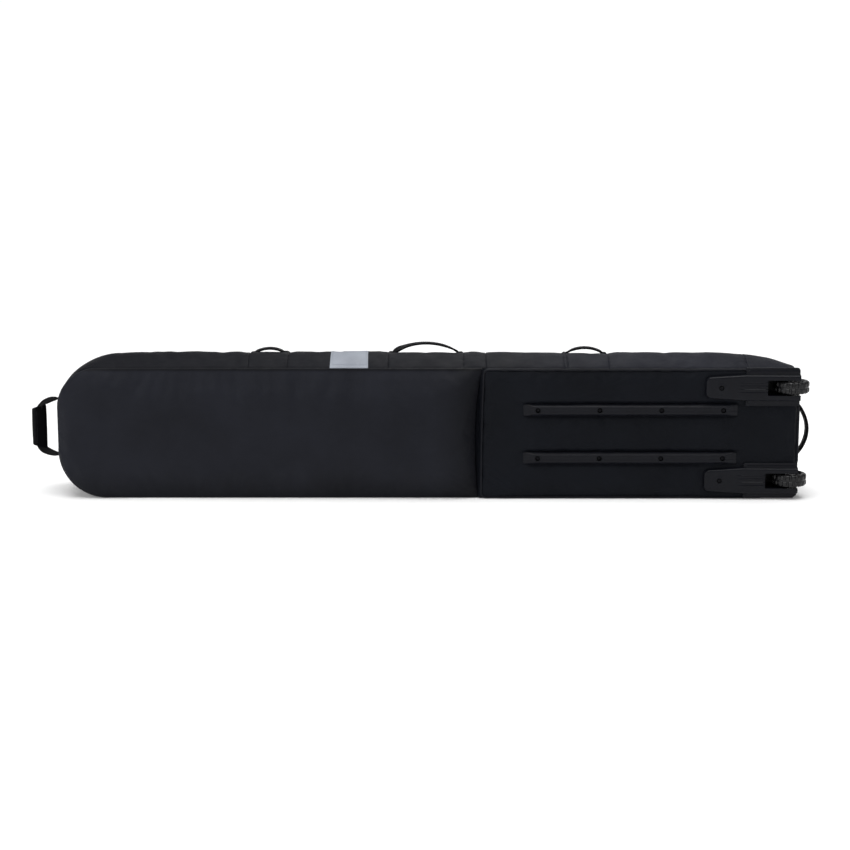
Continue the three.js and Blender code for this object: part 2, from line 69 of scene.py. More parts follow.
# ---- Sizes, from the frame ----
nose_low, nose_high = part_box("nose_base_panel")
tail_low, tail_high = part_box("tail_base_panel")
top_low, top_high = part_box("top_gusset")
NOSE_X, FOLD_X = nose_low.x, nose_high.x
TAIL_PANEL_X, TAIL_X = tail_low.x, tail_high.x
SEAM_Z, BASE_Y = tail_high.z, tail_low.y
FRONT_Y, BACK_Y = top_low.y, top_high.y
TAIL_SEAM_X = top_high.x
TOP_CROWN = top_high.z - SEAM_Z
NOSE_CROWN = NOSE_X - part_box("nose_gusset")[0].x
NOSE_FLATTER = 0.0045  # how much less the nose bulges than it does in the frame
TAIL_CROWN = 0.006
NOSE_RADIUS = (0.096, 0.122)  # upper nose corner, at the base and at the lid
NOSE_LOW_RADIUS = 0.112  # lower nose corner at the base
NOSE_ROUNDING = 0.018  # how much rounder the nose is half way back
NOSE_SEAM_X = NOSE_X + NOSE_RADIUS[1] + NOSE_ROUNDING  # the straight sides end here
FILLED_CROWN = 0.0108  # how far a full bag rises above its pattern
TAIL_FILL = 0.0085  # how far the tail wall fills out between the wheel housings
TAIL_FALL_X = 0.675  # from here the upper side falls towards the tail
TAIL_FALL = 0.60  # how fast it falls, growing with the square of the distance
REAR_SLACK = 0.0022  # how much lower the upper side lies behind the fold
TAIL_RADIUS = (0.022, 0.105)  # tail corners, at the base and at the lid
CORNER_Y = -0.040  # the tail corners stay square back to here
MID_Z = SEAM_Z / 2
LID_LOW_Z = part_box("lid_band")[0].z
SEAT_Y = BASE_Y - 0.0004  # back face of what is riveted to the base
SIDES = ("upper", "lower")
PLACES = ("nose", "tail")
X, Y, Z = range(3)

UP, DOWN, LEFT, RIGHT = (0, 1), (0, -1), (-1, 0), (1, 0)


# ---- Small numbers work ----
def clamp(value, low=0.0, high=1.0):
    return np.minimum(np.maximum(value, low), high)


def mix(a, b, t):
    return a + (b - a) * t


def rise(distance, width):
    """Padding that rises from a seam to its full height a width away."""
    return np.sin(np.pi / 2 * clamp(distance / width))


def near(distance, width):
    """One at a line, fading to nothing a few widths away."""
    return np.exp(-np.abs(distance) / width)


def dome(share):
    """A quarter circle, rising steeply from nothing to one."""
    return np.sqrt(clamp(1 - (1 - clamp(share)) ** 2))


def bell(distance, width):
    """One at a line, falling off smoothly about a width away."""
    return np.exp(-((distance / width) ** 2))


def even(count, last=False):
    return np.linspace(0, 1, count + (1 if last else 0), endpoint=last)


def clustered(length, spacing, marks, reach=(0.0006, 0.0014, 0.0028, 0.005)):
    """Places along a length, evenly spaced, with extra ones close to each mark."""
    places = list(np.linspace(0, length, max(2, round(length / spacing)) + 1))
    for mark in marks:
        for step in (0, *reach):
            places += [mark - step, mark + step]
    places = np.unique(np.round(clamp(np.array(places), 0, length), 6))
    keep = np.concatenate([[True], np.diff(places) > 0.00025])
    keep[-1] = True
    return places[keep]


def ripple(u, v, wave, seed, count=14):
    """Soft unevenness of unit height, made of waves about a wavelength long."""
    rng = np.random.default_rng(seed)
    total = 0
    for _ in range(count):
        length, turn, phase = wave * rng.uniform(0.7, 1.6), rng.uniform(0, np.pi), rng.uniform(0, 2 * np.pi)
        total = total + np.sin(2 * np.pi * (u * np.cos(turn) + v * np.sin(turn)) / length + phase)
    return total / np.sqrt(count)


def wander(s, wave, seed, count=7):
    """The same along one line."""
    rng = np.random.default_rng(seed)
    total = 0
    for _ in range(count):
        total = total + np.sin(2 * np.pi * s / (wave * rng.uniform(0.6, 1.7)) + rng.uniform(0, 2 * np.pi))
    return total / np.sqrt(count)


def lengths(points):
    """Distance along a row of points."""
    steps = np.linalg.norm(np.diff(points, axis=0), axis=1)
    return np.concatenate([[0], np.cumsum(steps)])


def edge_distance(x, z, low, high, radius):
    """How far inside a rounded rectangle a point is."""
    centre, half = (np.array(low) + high) / 2, (np.array(high) - low) / 2
    qx, qz = np.abs(x - centre[0]) - half[0] + radius, np.abs(z - centre[1]) - half[1] + radius
    outside = np.hypot(np.maximum(qx, 0), np.maximum(qz, 0))
    return radius - outside - np.minimum(np.maximum(qx, qz), 0)


def filleted(corners, radius, count=4):
    """Closed outline with its corners rounded; radius is one number or one for each corner."""
    corners = [np.array(c, float) for c in corners]
    radii = radius if hasattr(radius, "__len__") else [radius] * len(corners)
    outline = []
    for i, corner in enumerate(corners):
        before, after = corners[i - 1] - corner, corners[(i + 1) % len(corners)] - corner
        size = min(radii[i], np.linalg.norm(before) * 0.49, np.linalg.norm(after) * 0.49)
        start = corner + before / np.linalg.norm(before) * size
        stop = corner + after / np.linalg.norm(after) * size
        for t in even(count, True):
            outline.append((1 - t) ** 2 * start + 2 * t * (1 - t) * corner + t * t * stop)
    return np.array(outline)


# ---- Mesh building ----
class Shape:
    """Gathers grids and rings, then makes one piece of them. UVs are lengths in metres."""

    def __init__(self):
        self.points, self.faces, self.uvs, self.slots, self.count = [], [], [], [], 0

    def add(self, points, faces, uvs, slot=0):
        self.points.append(np.asarray(points, float).reshape(-1, 3))
        self.faces += [[i + self.count for i in face] for face in faces]
        self.uvs += [tuple(uv) for uv in uvs]
        self.slots += [slot] * len(faces)
        self.count += len(self.points[-1])

    def grid(self, points, outward=None, wrap=(False, False), caps=False, slot=0):
        rows, columns = points.shape[:2]
        i, j = np.meshgrid(np.arange(rows - (not wrap[0])), np.arange(columns - (not wrap[1])), indexing="ij")
        i, j = i.ravel(), j.ravel()
        down, across = (i + 1) % rows, (j + 1) % columns
        corners = (i * columns + j, i * columns + across, down * columns + across, down * columns + j)
        faces = np.stack(corners, 1)
        row, column = points[rows // 2], points[:, columns // 2]
        u = lengths(np.concatenate([row, row[:1]]))
        v = lengths(np.concatenate([column, column[:1]]))
        uv = np.stack([u[j], v[i], u[j + 1], v[i], u[j + 1], v[i + 1], u[j], v[i + 1]], 1).reshape(-1, 4, 2)
        flat = points.reshape(-1, 3)
        if outward is None:
            outward = points - points.mean(axis=1, keepdims=True)
        out = np.broadcast_to(outward, points.shape).reshape(-1, 3)[faces[:, 0]]
        normal = np.cross(flat[faces[:, 1]] - flat[faces[:, 0]], flat[faces[:, 3]] - flat[faces[:, 0]])
        if (normal * out).sum() < 0:
            faces, uv = faces[:, ::-1], uv[:, ::-1]
        rings = [list(range(columns)), list(range((rows - 1) * columns, rows * columns))] if caps else []
        loose = [(0.0, 0.0)] * (columns * len(rings))
        self.add(flat, faces.tolist() + rings, uv.reshape(-1, 2).tolist() + loose, slot)
        return self

    def solid(self, rings, slot=0):
        """Adds a closed solid that runs through rings of points."""
        return self.grid(np.asarray(rings), wrap=(False, True), caps=True, slot=slot)

    def make(self, name, materials, closed=False, sharp=None):
        mesh = bpy.data.meshes.new(name)
        mesh.from_pydata(np.concatenate(self.points).tolist(), [], self.faces)
        layer = mesh.uv_layers.new(name="metres")
        layer.data.foreach_set("uv", np.array(self.uvs, np.float32).ravel())
        for each in materials:
            mesh.materials.append(each)
        mesh.polygons.foreach_set("material_index", np.array(self.slots, np.int32))
        mesh.polygons.foreach_set("use_smooth", np.ones(len(self.faces), bool))
        if closed:
            work = bmesh.new()
            work.from_mesh(mesh)
            bmesh.ops.recalc_face_normals(work, faces=work.faces)
            work.to_mesh(mesh)
            work.free()
        mesh.update()
        if sharp:
            mesh.set_sharp_from_angle(angle=math.radians(sharp))
        piece = bpy.data.objects.new(name, mesh)
        bpy.context.scene.collection.objects.link(piece)
        return piece

    def cutter(self):
        return self.make("cutter", [], closed=True)


def thicken(piece, thickness, inner_slot=0):
    """Gives a sheet its thickness behind the shown face."""
    solid = piece.modifiers.new("thickness", "SOLIDIFY")
    solid.thickness = thickness
    solid.offset = -1
    solid.material_offset = inner_slot
    return piece


def baked(piece):
    """Replaces a piece's mesh by the one that its modifiers give."""
    graph = bpy.context.evaluated_depsgraph_get()
    mesh = bpy.data.meshes.new_from_object(piece.evaluated_get(graph))
    piece.modifiers.clear()
    piece.data = mesh
    return piece


def carve(piece, cutters, sharp=32):
    """Cuts closed shapes out of a closed piece, and joins up its own overlapping solids."""
    for cutter in cutters:
        cut = piece.modifiers.new("cut", "BOOLEAN")
        cut.operation = "DIFFERENCE"
        cut.solver = "EXACT"
        cut.use_self = cutter is cutters[0]
        cut.object = cutter
    baked(piece)
    for cutter in cutters:
        bpy.data.objects.remove(cutter)
    piece.data.polygons.foreach_set("use_smooth", np.ones(len(piece.data.polygons), bool))
    piece.data.set_sharp_from_angle(angle=math.radians(sharp))
    return piece


def cut_window(piece, low, high):
    """Cuts an open sheet away inside a box."""
    work = bmesh.new()
    work.from_mesh(piece.data)
    low, high = Vector(low), Vector(high)
    margin = Vector((0.02,) * 3)

    def touching(face):
        return all(a <= b <= c for a, b, c in zip(low - margin, face.calc_center_median(), high + margin))

    for axis in range(3):
        for bound in (low[axis], high[axis]):
            place, normal = Vector((0, 0, 0)), Vector((0, 0, 0))
            place[axis], normal[axis] = bound, 1
            faces = [f for f in work.faces if touching(f)]
            edges = {e for f in faces for e in f.edges}
            verts = {v for f in faces for v in f.verts}
            geometry = [*verts, *edges, *faces]
            bmesh.ops.bisect_plane(work, geom=geometry, dist=1e-6, plane_co=place, plane_no=normal)
    inside = [f for f in work.faces if all(a < b < c for a, b, c in zip(low, f.calc_center_median(), high))]
    bmesh.ops.delete(work, geom=inside, context="FACES")
    work.to_mesh(piece.data)
    work.free()


def settle(points, outward, held, pressure, slack, reach, steps=16):
    """How a sewn panel fills out: cloth held at some points and pressed out, hardly past its reach."""
    piece = Shape().grid(points, outward).make("settling", [])
    group = piece.vertex_groups.new(name="held")
    group.add(np.flatnonzero(held.ravel()).tolist(), 1.0, "REPLACE")
    cloth = piece.modifiers.new("cloth", "CLOTH")
    cloth.settings.quality = 6
    cloth.settings.mass = 0.2
    cloth.settings.tension_stiffness = cloth.settings.compression_stiffness = 12
    cloth.settings.shear_stiffness = 6
    cloth.settings.bending_stiffness = 1.2
    cloth.settings.vertex_group_mass = "held"
    cloth.settings.use_pressure = True
    cloth.settings.uniform_pressure_force = pressure
    cloth.settings.shrink_min = -slack
    cloth.settings.effector_weights.gravity = 0
    cloth.collision_settings.use_collision = False
    scene = bpy.context.scene
    for number in range(1, steps + 1):
        scene.frame_set(number)
    shown = piece.evaluated_get(bpy.context.evaluated_depsgraph_get())
    settled = np.zeros(points.size, np.float32)
    shown.data.vertices.foreach_get("co", settled)
    scene.frame_set(1)
    bpy.data.objects.remove(piece)
    moved = settled.reshape(points.shape) - points
    size = np.linalg.norm(moved, axis=2, keepdims=True)
    eased = reach * (1 + np.tanh((size - reach) / reach) * 0.25)
    return moved * np.where(size > reach, eased / np.maximum(size, 1e-9), 1)


def resample(field, rows, columns, new_rows, new_columns):
    """A coarse grid's movement on a finer grid, smoothed."""
    wide = np.stack([[np.interp(new_columns, columns, line[:, k]) for k in range(3)] for line in field])
    fine = np.stack([[np.interp(new_rows, rows, line) for line in wide[:, k].T] for k in range(3)])
    fine = np.moveaxis(fine, (0, 1, 2), (2, 1, 0))
    for _ in range(2):
        fine[1:-1] = (fine[:-2] + 2 * fine[1:-1] + fine[2:]) / 4
        fine[:, 1:-1] = (fine[:, :-2] + 2 * fine[:, 1:-1] + fine[:, 2:]) / 4
    return fine


# ---- Sweeps, turned shapes and stitches ----
def sweep(route, section_at, width_way=(0, 1, 0), wrap=False):
    """Rings of a section along a route. A section is [across, out] pairs, across being along width_way."""
    route = np.asarray(route, float)
    before, after = np.roll(route, 1, 0), np.roll(route, -1, 0)
    if not wrap:
        before[0], after[-1] = route[0], route[-1]
    along = after - before
    along /= np.linalg.norm(along, axis=1, keepdims=True)
    share = lengths(route) / lengths(route)[-1]
    ways = np.broadcast_to(np.asarray(width_way, float), route.shape)
    rings = []
    for place, way, side, t in zip(route, along, ways, share):
        side = side - way * (side @ way)
        side = side / np.linalg.norm(side)
        out = np.cross(way, side)
        section = np.asarray(section_at(t))
        rings.append(place + section[:, :1] * side + section[:, 1:] * out)
    return np.array(rings)


def round_section(radius, count=12):
    angle = 2 * np.pi * even(count)
    return np.stack([radius * np.cos(angle), radius * np.sin(angle)], 1)


def strap_section(width, thickness):
    """Flat webbing with full edges and a fine line where its two layers meet."""
    a, b = width / 2, thickness / 2
    notch = min(0.0006, b * 0.3)
    edge = [(a - b * 0.6, b), (a - b * 0.15, b * 0.8), (a, b * 0.4), (a - notch, 0), (a, -b * 0.4),
            (a - b * 0.15, -b * 0.8), (a - b * 0.6, -b)]
    return np.array([(0, b), *edge, (0, -b), *[(-x, -y) for x, y in edge]])


def tube(route, radius):
    return sweep(route, lambda t: round_section(radius))


def turned(profile, centre, axis, count=40):
    """Solid of revolution from [radius, height] pairs, height along the axis from the centre."""
    angle = 2 * np.pi * even(count)
    a, b = [w for w in np.eye(3) if w @ np.array(axis) == 0]
    spokes = np.cos(angle)[:, None] * a + np.sin(angle)[:, None] * b
    rings = [np.array(centre) + np.array(axis) * h + spokes * max(r, 1e-5) for r, h in profile]
    return Shape().solid(rings)


THREAD = 0.00038
STITCH_SIDES = 5


def stitch(shape, line, normals, length=0.0032, gap=0.0014, slot=0, radius=THREAD):
    """Adds a row of stitches along a line that lies on a surface."""
    line = np.asarray(line, float)
    normals = np.broadcast_to(np.asarray(normals, float), line.shape)
    s = lengths(line)
    starts = np.arange(gap, s[-1] - length, length + gap)
    if not len(starts):
        return shape
    stations = starts[:, None] + length * np.array([0, 0.2, 0.8, 1])
    at = lambda table: np.stack([np.interp(stations, s, table[:, k]) for k in range(3)], -1)
    centre, normal = at(line), at(normals)
    along = centre[:, -1:] - centre[:, :1]
    along = along / np.linalg.norm(along, axis=2, keepdims=True)
    normal = normal / np.linalg.norm(normal, axis=2, keepdims=True)
    side = np.cross(along, normal)
    size = radius * np.array([0.5, 1, 1, 0.5])
    centre = centre + normal * (np.array([-0.3, 0.6, 0.6, -0.3]) * radius)[:, None]
    n = STITCH_SIDES
    angle = 2 * np.pi * even(n)[:, None]
    ring = (side[:, :, None] * np.cos(angle) + normal[:, :, None] * np.sin(angle)) * size[:, None, None]
    points = centre[:, :, None] + ring
    faces = [[i * n + j, i * n + (j + 1) % n, (i + 1) * n + (j + 1) % n, (i + 1) * n + j]
             for i in range(3) for j in range(n)]
    faces += [list(range(n)), list(range(3 * n, 4 * n))]
    uvs = [(0.001 * (k % 2), 0.001 * (k // 2)) for face in faces for k in range(len(face))]
    for stitched in points:
        shape.add(stitched, faces, uvs, slot)
    return shape


# ---- Materials ----
class Finish:
    """A procedural material, with short names for the nodes that every one of them needs."""

    def __init__(self, name, roughness, specular=0.25, metallic=0.0, sheen=0.0):
        self.made = bpy.data.materials.new(name)
        self.made.use_nodes = True
        self.tree = self.made.node_tree
        self.shader = self.tree.nodes["Principled BSDF"]
        self.shader.inputs["Roughness"].default_value = roughness
        self.shader.inputs["Specular IOR Level"].default_value = specular
        self.shader.inputs["Metallic"].default_value = metallic
        self.shader.inputs["Sheen Weight"].default_value = sheen
        self.shader.inputs["Sheen Roughness"].default_value = 0.5
        coordinates = self.tree.nodes.new("ShaderNodeTexCoord")
        self.uv, self.place = coordinates.outputs["UV"], coordinates.outputs["Object"]

    def node(self, kind, *values, output=0, **settings):
        made = self.tree.nodes.new("ShaderNode" + kind)
        for key, value in settings.items():
            setattr(made, key, value)
        for socket, value in zip(made.inputs, values):
            if isinstance(value, bpy.types.NodeSocket):
                self.tree.links.new(value, socket)
            elif value is not None:
                socket.default_value = value
        return made.outputs[output]

    def math(self, operation, a, b=None, c=None):
        return self.node("Math", a, b, c, operation=operation)

    def noise(self, scale, detail=3.0, where=None):
        made = self.tree.nodes.new("ShaderNodeTexNoise")
        self.tree.links.new(self.place if where is None else where, made.inputs["Vector"])
        made.inputs["Scale"].default_value = scale
        made.inputs["Detail"].default_value = detail
        return made.outputs["Fac"]

    def between(self, value, low, high, start=0.3, stop=0.7):
        return self.node("MapRange", value, start, stop, low, high)

    def colour(self, dark, light, fac):
        ramp = self.tree.nodes.new("ShaderNodeValToRGB")
        ramp.color_ramp.elements[0].position, ramp.color_ramp.elements[1].position = 0.3, 0.7
        ramp.color_ramp.elements[0].color = (*dark, 1)
        ramp.color_ramp.elements[1].color = (*light, 1)
        self.tree.links.new(fac, ramp.inputs["Fac"])
        self.tree.links.new(ramp.outputs["Color"], self.shader.inputs["Base Color"])
        return self

    def paint_shade(self, axis, start, stop, share):
        """Paints shade: scales the colour down to a share of itself between two places along an axis."""
        place = self.node("SeparateXYZ", self.place, output=axis)
        fade = self.node("MapRange", place, start, stop, 1.0, share, interpolation_type="SMOOTHSTEP")
        colour = self.shader.inputs["Base Color"]
        painted_shade = self.node("VectorMath", colour.links[0].from_socket, None, None, fade, operation="SCALE")
        self.tree.links.new(painted_shade, colour)
        return self

    def rough(self, fac):
        self.tree.links.new(fac, self.shader.inputs["Roughness"])
        return self

    def bump(self, height, distance, strength=1.0):
        made = self.tree.nodes.new("ShaderNodeBump")
        made.inputs["Distance"].default_value = distance
        made.inputs["Strength"].default_value = strength
        self.tree.links.new(height, made.inputs["Height"])
        under = self.shader.inputs["Normal"]
        if under.links:
            self.tree.links.new(under.links[0].from_socket, made.inputs["Normal"])
        self.tree.links.new(made.outputs["Normal"], under)
        return self

    def waves(self, pitch_u, pitch_v):
        """Sines along both directions of the UVs, as two sockets."""
        u, v = (self.node("SeparateXYZ", self.uv, output=k) for k in (0, 1))
        scaled = [self.math("MULTIPLY", s, 2 * math.pi / p) for s, p in ((u, pitch_u), (v, pitch_v))]
        return [self.math("SINE", s) for s in scaled]


def fabric(name, colour, roughness, pitch=0.0016, specular=0.09, sheen=0.008, depth=0.00009, painted_shade=()):
    """Woven polyester: a fine basket weave, slubs, slow shade changes and a coated gloss."""
    made = Finish(name, roughness, specular, sheen=sheen)
    across, along = made.waves(pitch, pitch)
    weave = made.math("MULTIPLY", across, along)
    slub = made.noise(900, 2)
    shade = made.math("MULTIPLY_ADD", weave, 0.08, made.noise(7, 4))
    made.colour([c * 0.82 for c in colour], [c * 1.22 for c in colour], shade)
    # Painted shade: each entry darkens the colour between two places along an axis.
    for place in painted_shade:
        made.paint_shade(*place)
    made.rough(made.between(made.noise(30, 3), roughness - 0.05, roughness + 0.06))
    made.bump(made.math("MULTIPLY_ADD", slub, 0.5, weave), depth)
    made.bump(made.noise(45, 2), 0.0006, 0.5)
    return made.made


def webbing(name, colour, roughness=0.62, rib=0.0022, row=0.0016):
    """Nylon webbing: ribs across it and a herringbone of threads along it."""
    made = Finish(name, roughness, 0.08, sheen=0.01)
    across = made.waves(rib, row)[0]
    slant = made.math("MULTIPLY_ADD", across, 0.0006, made.node("SeparateXYZ", made.uv, output=Y))
    threads = made.math("SINE", made.math("MULTIPLY", slant, 2 * math.pi / row))
    height = made.math("MULTIPLY_ADD", across, 0.6, threads)
    shade = made.math("MULTIPLY_ADD", height, 0.14, made.noise(60))
    made.colour([c * 0.7 for c in colour], [c * 1.25 for c in colour], shade)
    made.bump(height, 0.00018)
    return made.made


def plastic(name, colour, roughness, grain=1600, specular=0.14, depth=0.00005):
    """Moulded plastic with a spark-eroded grain, scuffs and slightly worn gloss."""
    made = Finish(name, roughness, specular)
    made.colour([c * 0.88 for c in colour], [c * 1.12 for c in colour], made.noise(22, 5))
    made.rough(made.between(made.noise(120, 6), roughness - 0.06, roughness + 0.1))
    made.bump(made.noise(grain, 2), depth)
    scratch = made.node("Mapping", made.place, (0, 0, 0), (0, 0.2, 0), (40, 600, 900))
    made.bump(made.noise(1.0, 2, scratch), 0.00003)
    return made.made


def metal(name, colour, roughness):
    """Plated metal with fine brushing and dull spots."""
    made = Finish(name, roughness, 0.5, 1.0)
    made.colour([c * 0.8 for c in colour], [c * 1.1 for c in colour], made.noise(300, 4))
    made.rough(made.between(made.noise(900, 4), roughness - 0.08, roughness + 0.15))
    made.bump(made.noise(2500, 2), 0.00002)
    return made.made


def rubber():
    """Urethane tyre: dark, a little glossy, with mould specks."""
    made = Finish("tyre_rubber", 0.3, 0.28)
    made.colour((0.0038, 0.0038, 0.0045), (0.0078, 0.0078, 0.0090), made.noise(80, 5))
    made.rough(made.between(made.noise(200, 5), 0.2, 0.42))
    made.bump(made.noise(1400, 3), 0.00004)
    return made.made


SHELL = fabric("shell_fabric", (0.0092, 0.0100, 0.0143), 0.5)
# Nose panel fabric with painted shade: darker towards the fold, towards the bottom and in a band just under
# the upper seam.
NOSE_FABRIC = fabric("nose_fabric", (0.0092, 0.0100, 0.0143), 0.5,
                     painted_shade=[(X, FOLD_X - 0.11, FOLD_X - 0.008, 0.52), (Z, 0.075, 0.006, 0.66),
                            (Z, SEAM_Z - 0.0085, SEAM_Z - 0.0035, 0.42)])
# Wall fabric painted darker from x 0.46 towards the nose: painted shade on the wall's nose side.
WALL = fabric("wall_fabric", (0.0070, 0.0078, 0.0128), 0.55, painted_shade=[(X, 0.46, 0.14, 0.44)])
BASE = fabric("base_fabric", (0.0038, 0.0046, 0.0070), 0.46, pitch=0.0012, specular=0.07)
PIPING = fabric("piping_cloth", (0.0085, 0.0090, 0.0120), 0.45, pitch=0.0009)
LINING = fabric("lining_cloth", (0.055, 0.058, 0.066), 0.7, pitch=0.0009, sheen=0.03)
GRIP = fabric("grip_fabric", (0.0018, 0.0018, 0.0022), 0.7, pitch=0.0011, specular=0.02, sheen=0.0)
LABEL = fabric("label_cloth", (0.245, 0.265, 0.302), 0.5, pitch=0.0007, specular=0.2, depth=0.00004)
ZIP_TAPE = fabric("zip_tape", (0.010, 0.010, 0.012), 0.6, pitch=0.0010)
WEBBING = webbing("nylon_webbing", (0.0036, 0.0036, 0.0046))
GRIP_WEBBING = webbing("grip_webbing", (0.0030, 0.0030, 0.0036))
THREAD_DARK = webbing("bonded_thread", (0.016, 0.016, 0.019), 0.45)
THREAD_PALE = webbing("pale_thread", (0.20, 0.22, 0.26), 0.5)
COIL = plastic("zip_coil", (0.008, 0.008, 0.009), 0.35)
PLASTIC = plastic("moulded_plastic", (0.0030, 0.0034, 0.0058), 0.34)
RAIL = plastic("rail_plastic", (0.0034, 0.0038, 0.0062), 0.40, grain=1100)
BUCKLE = plastic("buckle_plastic", (0.012, 0.012, 0.013), 0.35)
BOARD = plastic("board_plastic", (0.030, 0.032, 0.036), 0.5)
HUB = plastic("wheel_hub_plastic", (0.045, 0.046, 0.050), 0.35)
RIVET = metal("rivet_metal", (0.012, 0.012, 0.014), 0.42)
ZIP_METAL = metal("zip_metal", (0.070, 0.070, 0.078), 0.3)
STEEL = metal("steel", (0.46, 0.46, 0.47), 0.28)
TYRE = rubber()


BODY_OF = {node: body for body, nodes in frame["record"]["behaviour"]["bodies"].items() for node in nodes}


def finish_piece(piece, body, slot_name, *nodes):
    """Rides a piece on a body, by default its node's, and hides the parts that it stands for; its slot name
    is not used.
    """
    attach(piece, body or BODY_OF[nodes[0]])
    if nodes:
        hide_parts(*nodes)
    return piece


# ---- The bag's outline at a depth y ----
def section(y, inset=0.0):
    """Its nose, tail, lower and upper faces and corner radii, moved in by an inset."""
    v = clamp((y - FRONT_Y) / (BACK_Y - FRONT_Y))
    tail_v = clamp((y - CORNER_Y) / (BACK_Y - CORNER_Y))
    swell = 4 * v * (1 - v)
    return SimpleNamespace(
        nose=NOSE_X - (NOSE_CROWN - NOSE_FLATTER) * swell + inset,
        tail=TAIL_X + TAIL_CROWN * 4 * tail_v * (1 - tail_v) - inset,
        low=inset,
        high=SEAM_Z + TOP_CROWN * swell - inset,
        nose_radius=mix(*NOSE_RADIUS, v) + NOSE_ROUNDING * swell - inset,
        nose_low_radius=mix(NOSE_LOW_RADIUS, NOSE_RADIUS[1], v) - inset,
        tail_radius=mix(*TAIL_RADIUS, tail_v) - inset,
    )


def line(start, stop, way, ts):
    ts = np.asarray(ts)[:, None]
    points = mix(np.array(start, float), np.array(stop, float), ts)
    return points, np.tile(np.array(way, float), (len(ts), 1))


def arc(centre, radius, first, last, ts):
    angle = np.radians(mix(first, last, np.asarray(ts)))
    ways = np.stack([np.cos(angle), np.sin(angle)], 1)
    return np.array(centre) + radius * ways, ways


def joined(*stretches):
    return [np.concatenate(parts) for parts in zip(*stretches)]


def surface(run, ys):
    """Points and outward ways of a run repeated at several depths, as grids."""
    rows = [run(y) for y in ys]
    points = np.array([[(x, y, z) for x, z in places] for y, (places, _) in zip(ys, rows)])
    ways = np.array([[(a, 0, b) for a, b in turns] for _, turns in rows])
    return points, ways


# ---- Gusset: the padded wall round the bag ----
# Seams either side of each haul handle, and how far its webbing twists, in degrees.
HAUL_HANDLES = {"nose": (-0.402, -0.310, 12), "middle": (-0.074, 0.102, 46), "tail": (0.338, 0.443, -14)}
TOP_SEAMS_X = (0.443, 0.3455, 0.338, 0.155, 0.102, -0.074, -0.310, -0.402)  # cross seams of the upper side
BOTTOM_SEAMS_X = (-0.35, 0.10, 0.45)
GUSSET_WALL = 0.005
HANDLE_PULL = 0.0022  # how much lower the upper side lies at a handle
FLOOR_GAP = 0.0003
TOP_LENGTH = TAIL_SEAM_X - NOSE_SEAM_X


def wall_depths():
    depth = BACK_Y - FRONT_Y
    return FRONT_Y + clustered(depth, 0.0045, [0, depth])


def body_run(y, at):
    """From the tail's cross seam along the top, round the nose and back along the bottom."""
    s = section(y)
    r, low_r = s.nose_radius, s.nose_low_radius
    turn, low_turn = s.nose + r, s.nose + low_r
    return joined(
        line((TAIL_SEAM_X, s.high), (NOSE_SEAM_X, s.high), UP, at.top),
        line((NOSE_SEAM_X, s.high), (turn, s.high), UP, (0, 0.06, 0.16, 0.36, 0.68)),
        arc((turn, s.high - r), r, 90, 180, at.corner),
        line((s.nose, s.high - r), (s.nose, s.low + low_r), LEFT, at.side),
        arc((low_turn, s.low + low_r), low_r, 180, 270, at.corner),
        line((low_turn, s.low), (NOSE_SEAM_X, s.low), DOWN, (0, 0.32, 0.64, 0.84, 0.94)),
        line((NOSE_SEAM_X, s.low), (TAIL_SEAM_X, s.low), DOWN, at.bottom),
    )


def tail_fill(z):
    """How far the tail fills out between the wheel housings."""
    return TAIL_FILL * rise(z - 0.066, 0.02) * rise(0.236 - z, 0.03)


def filled(points, ways):
    """Raises the upper side as a full bag's rises, less at the handles, and lets it fall towards the tail."""
    x, v = points[..., 0], clamp((points[..., 1] - FRONT_Y) / (BACK_Y - FRONT_Y))
    lift = FILLED_CROWN * rise(x - NOSE_X - 0.06, 0.16) - TAIL_FALL * clamp(x - TAIL_FALL_X, 0, 1) ** 2
    lift = lift - REAR_SLACK * rise(x - FOLD_X, 0.12)
    for seam0, seam1, _ in HAUL_HANDLES.values():
        lift = lift - HANDLE_PULL * rise(x - seam0 + 0.02, 0.03) * rise(seam1 + 0.02 - x, 0.03)
    tail = tail_fill(points[..., 2]) * clamp(ways[..., 0]) ** 2 * rise(1 - v, 0.4)
    points = points + tail[..., None] * np.array((1, 0, 0))
    upper = clamp(ways[..., 2]) ** 2
    return points + (lift * 4 * v * (1 - v) * upper)[..., None] * np.array((0, 0, 1))


def seam_wall(points, ways, seams, seed, crown=0.0):
    """Sinks a wall at its cross seams and long edges, gathers it beside them and makes it uneven."""
    points = filled(points, ways)
    middle = points[points.shape[0] // 2]
    s = lengths(middle)[None, :]
    y = points[:, :1, 1]
    edge = np.minimum(y - FRONT_Y, BACK_Y - y)
    push = -0.0024 * near(edge, 0.0011) - 0.0010 * near(edge, 0.006)
    gathers = wander(s, 0.013, seed) + 0.5 * wander(s, 0.0075, seed + 1)
    push = push + 0.00034 * near(edge, 0.009) * gathers
    push = push + crown * rise(edge, 0.03) + 0.0005 * rise(edge, 0.03) * ripple(s, y, 0.17, seed + 2)
    push = push + 0.00028 * rise(edge, 0.02) * ripple(s, y, 0.045, seed + 3)
    for number, index in enumerate(seams):
        gone = s - s[0, index]
        depth = 0.2 if index in (0, s.shape[1] - 1) else 1.0
        push = push - depth * (0.0015 * bell(gone, 0.0011) + 0.0005 * near(gone, 0.007))
        push = push + 0.00045 * near(gone, 0.010) * wander(y, 0.014, seed + 10 + number)
    moved = points + ways * push[..., None]
    moved[..., 2] = np.maximum(moved[..., 2], FLOOR_GAP)
    return moved


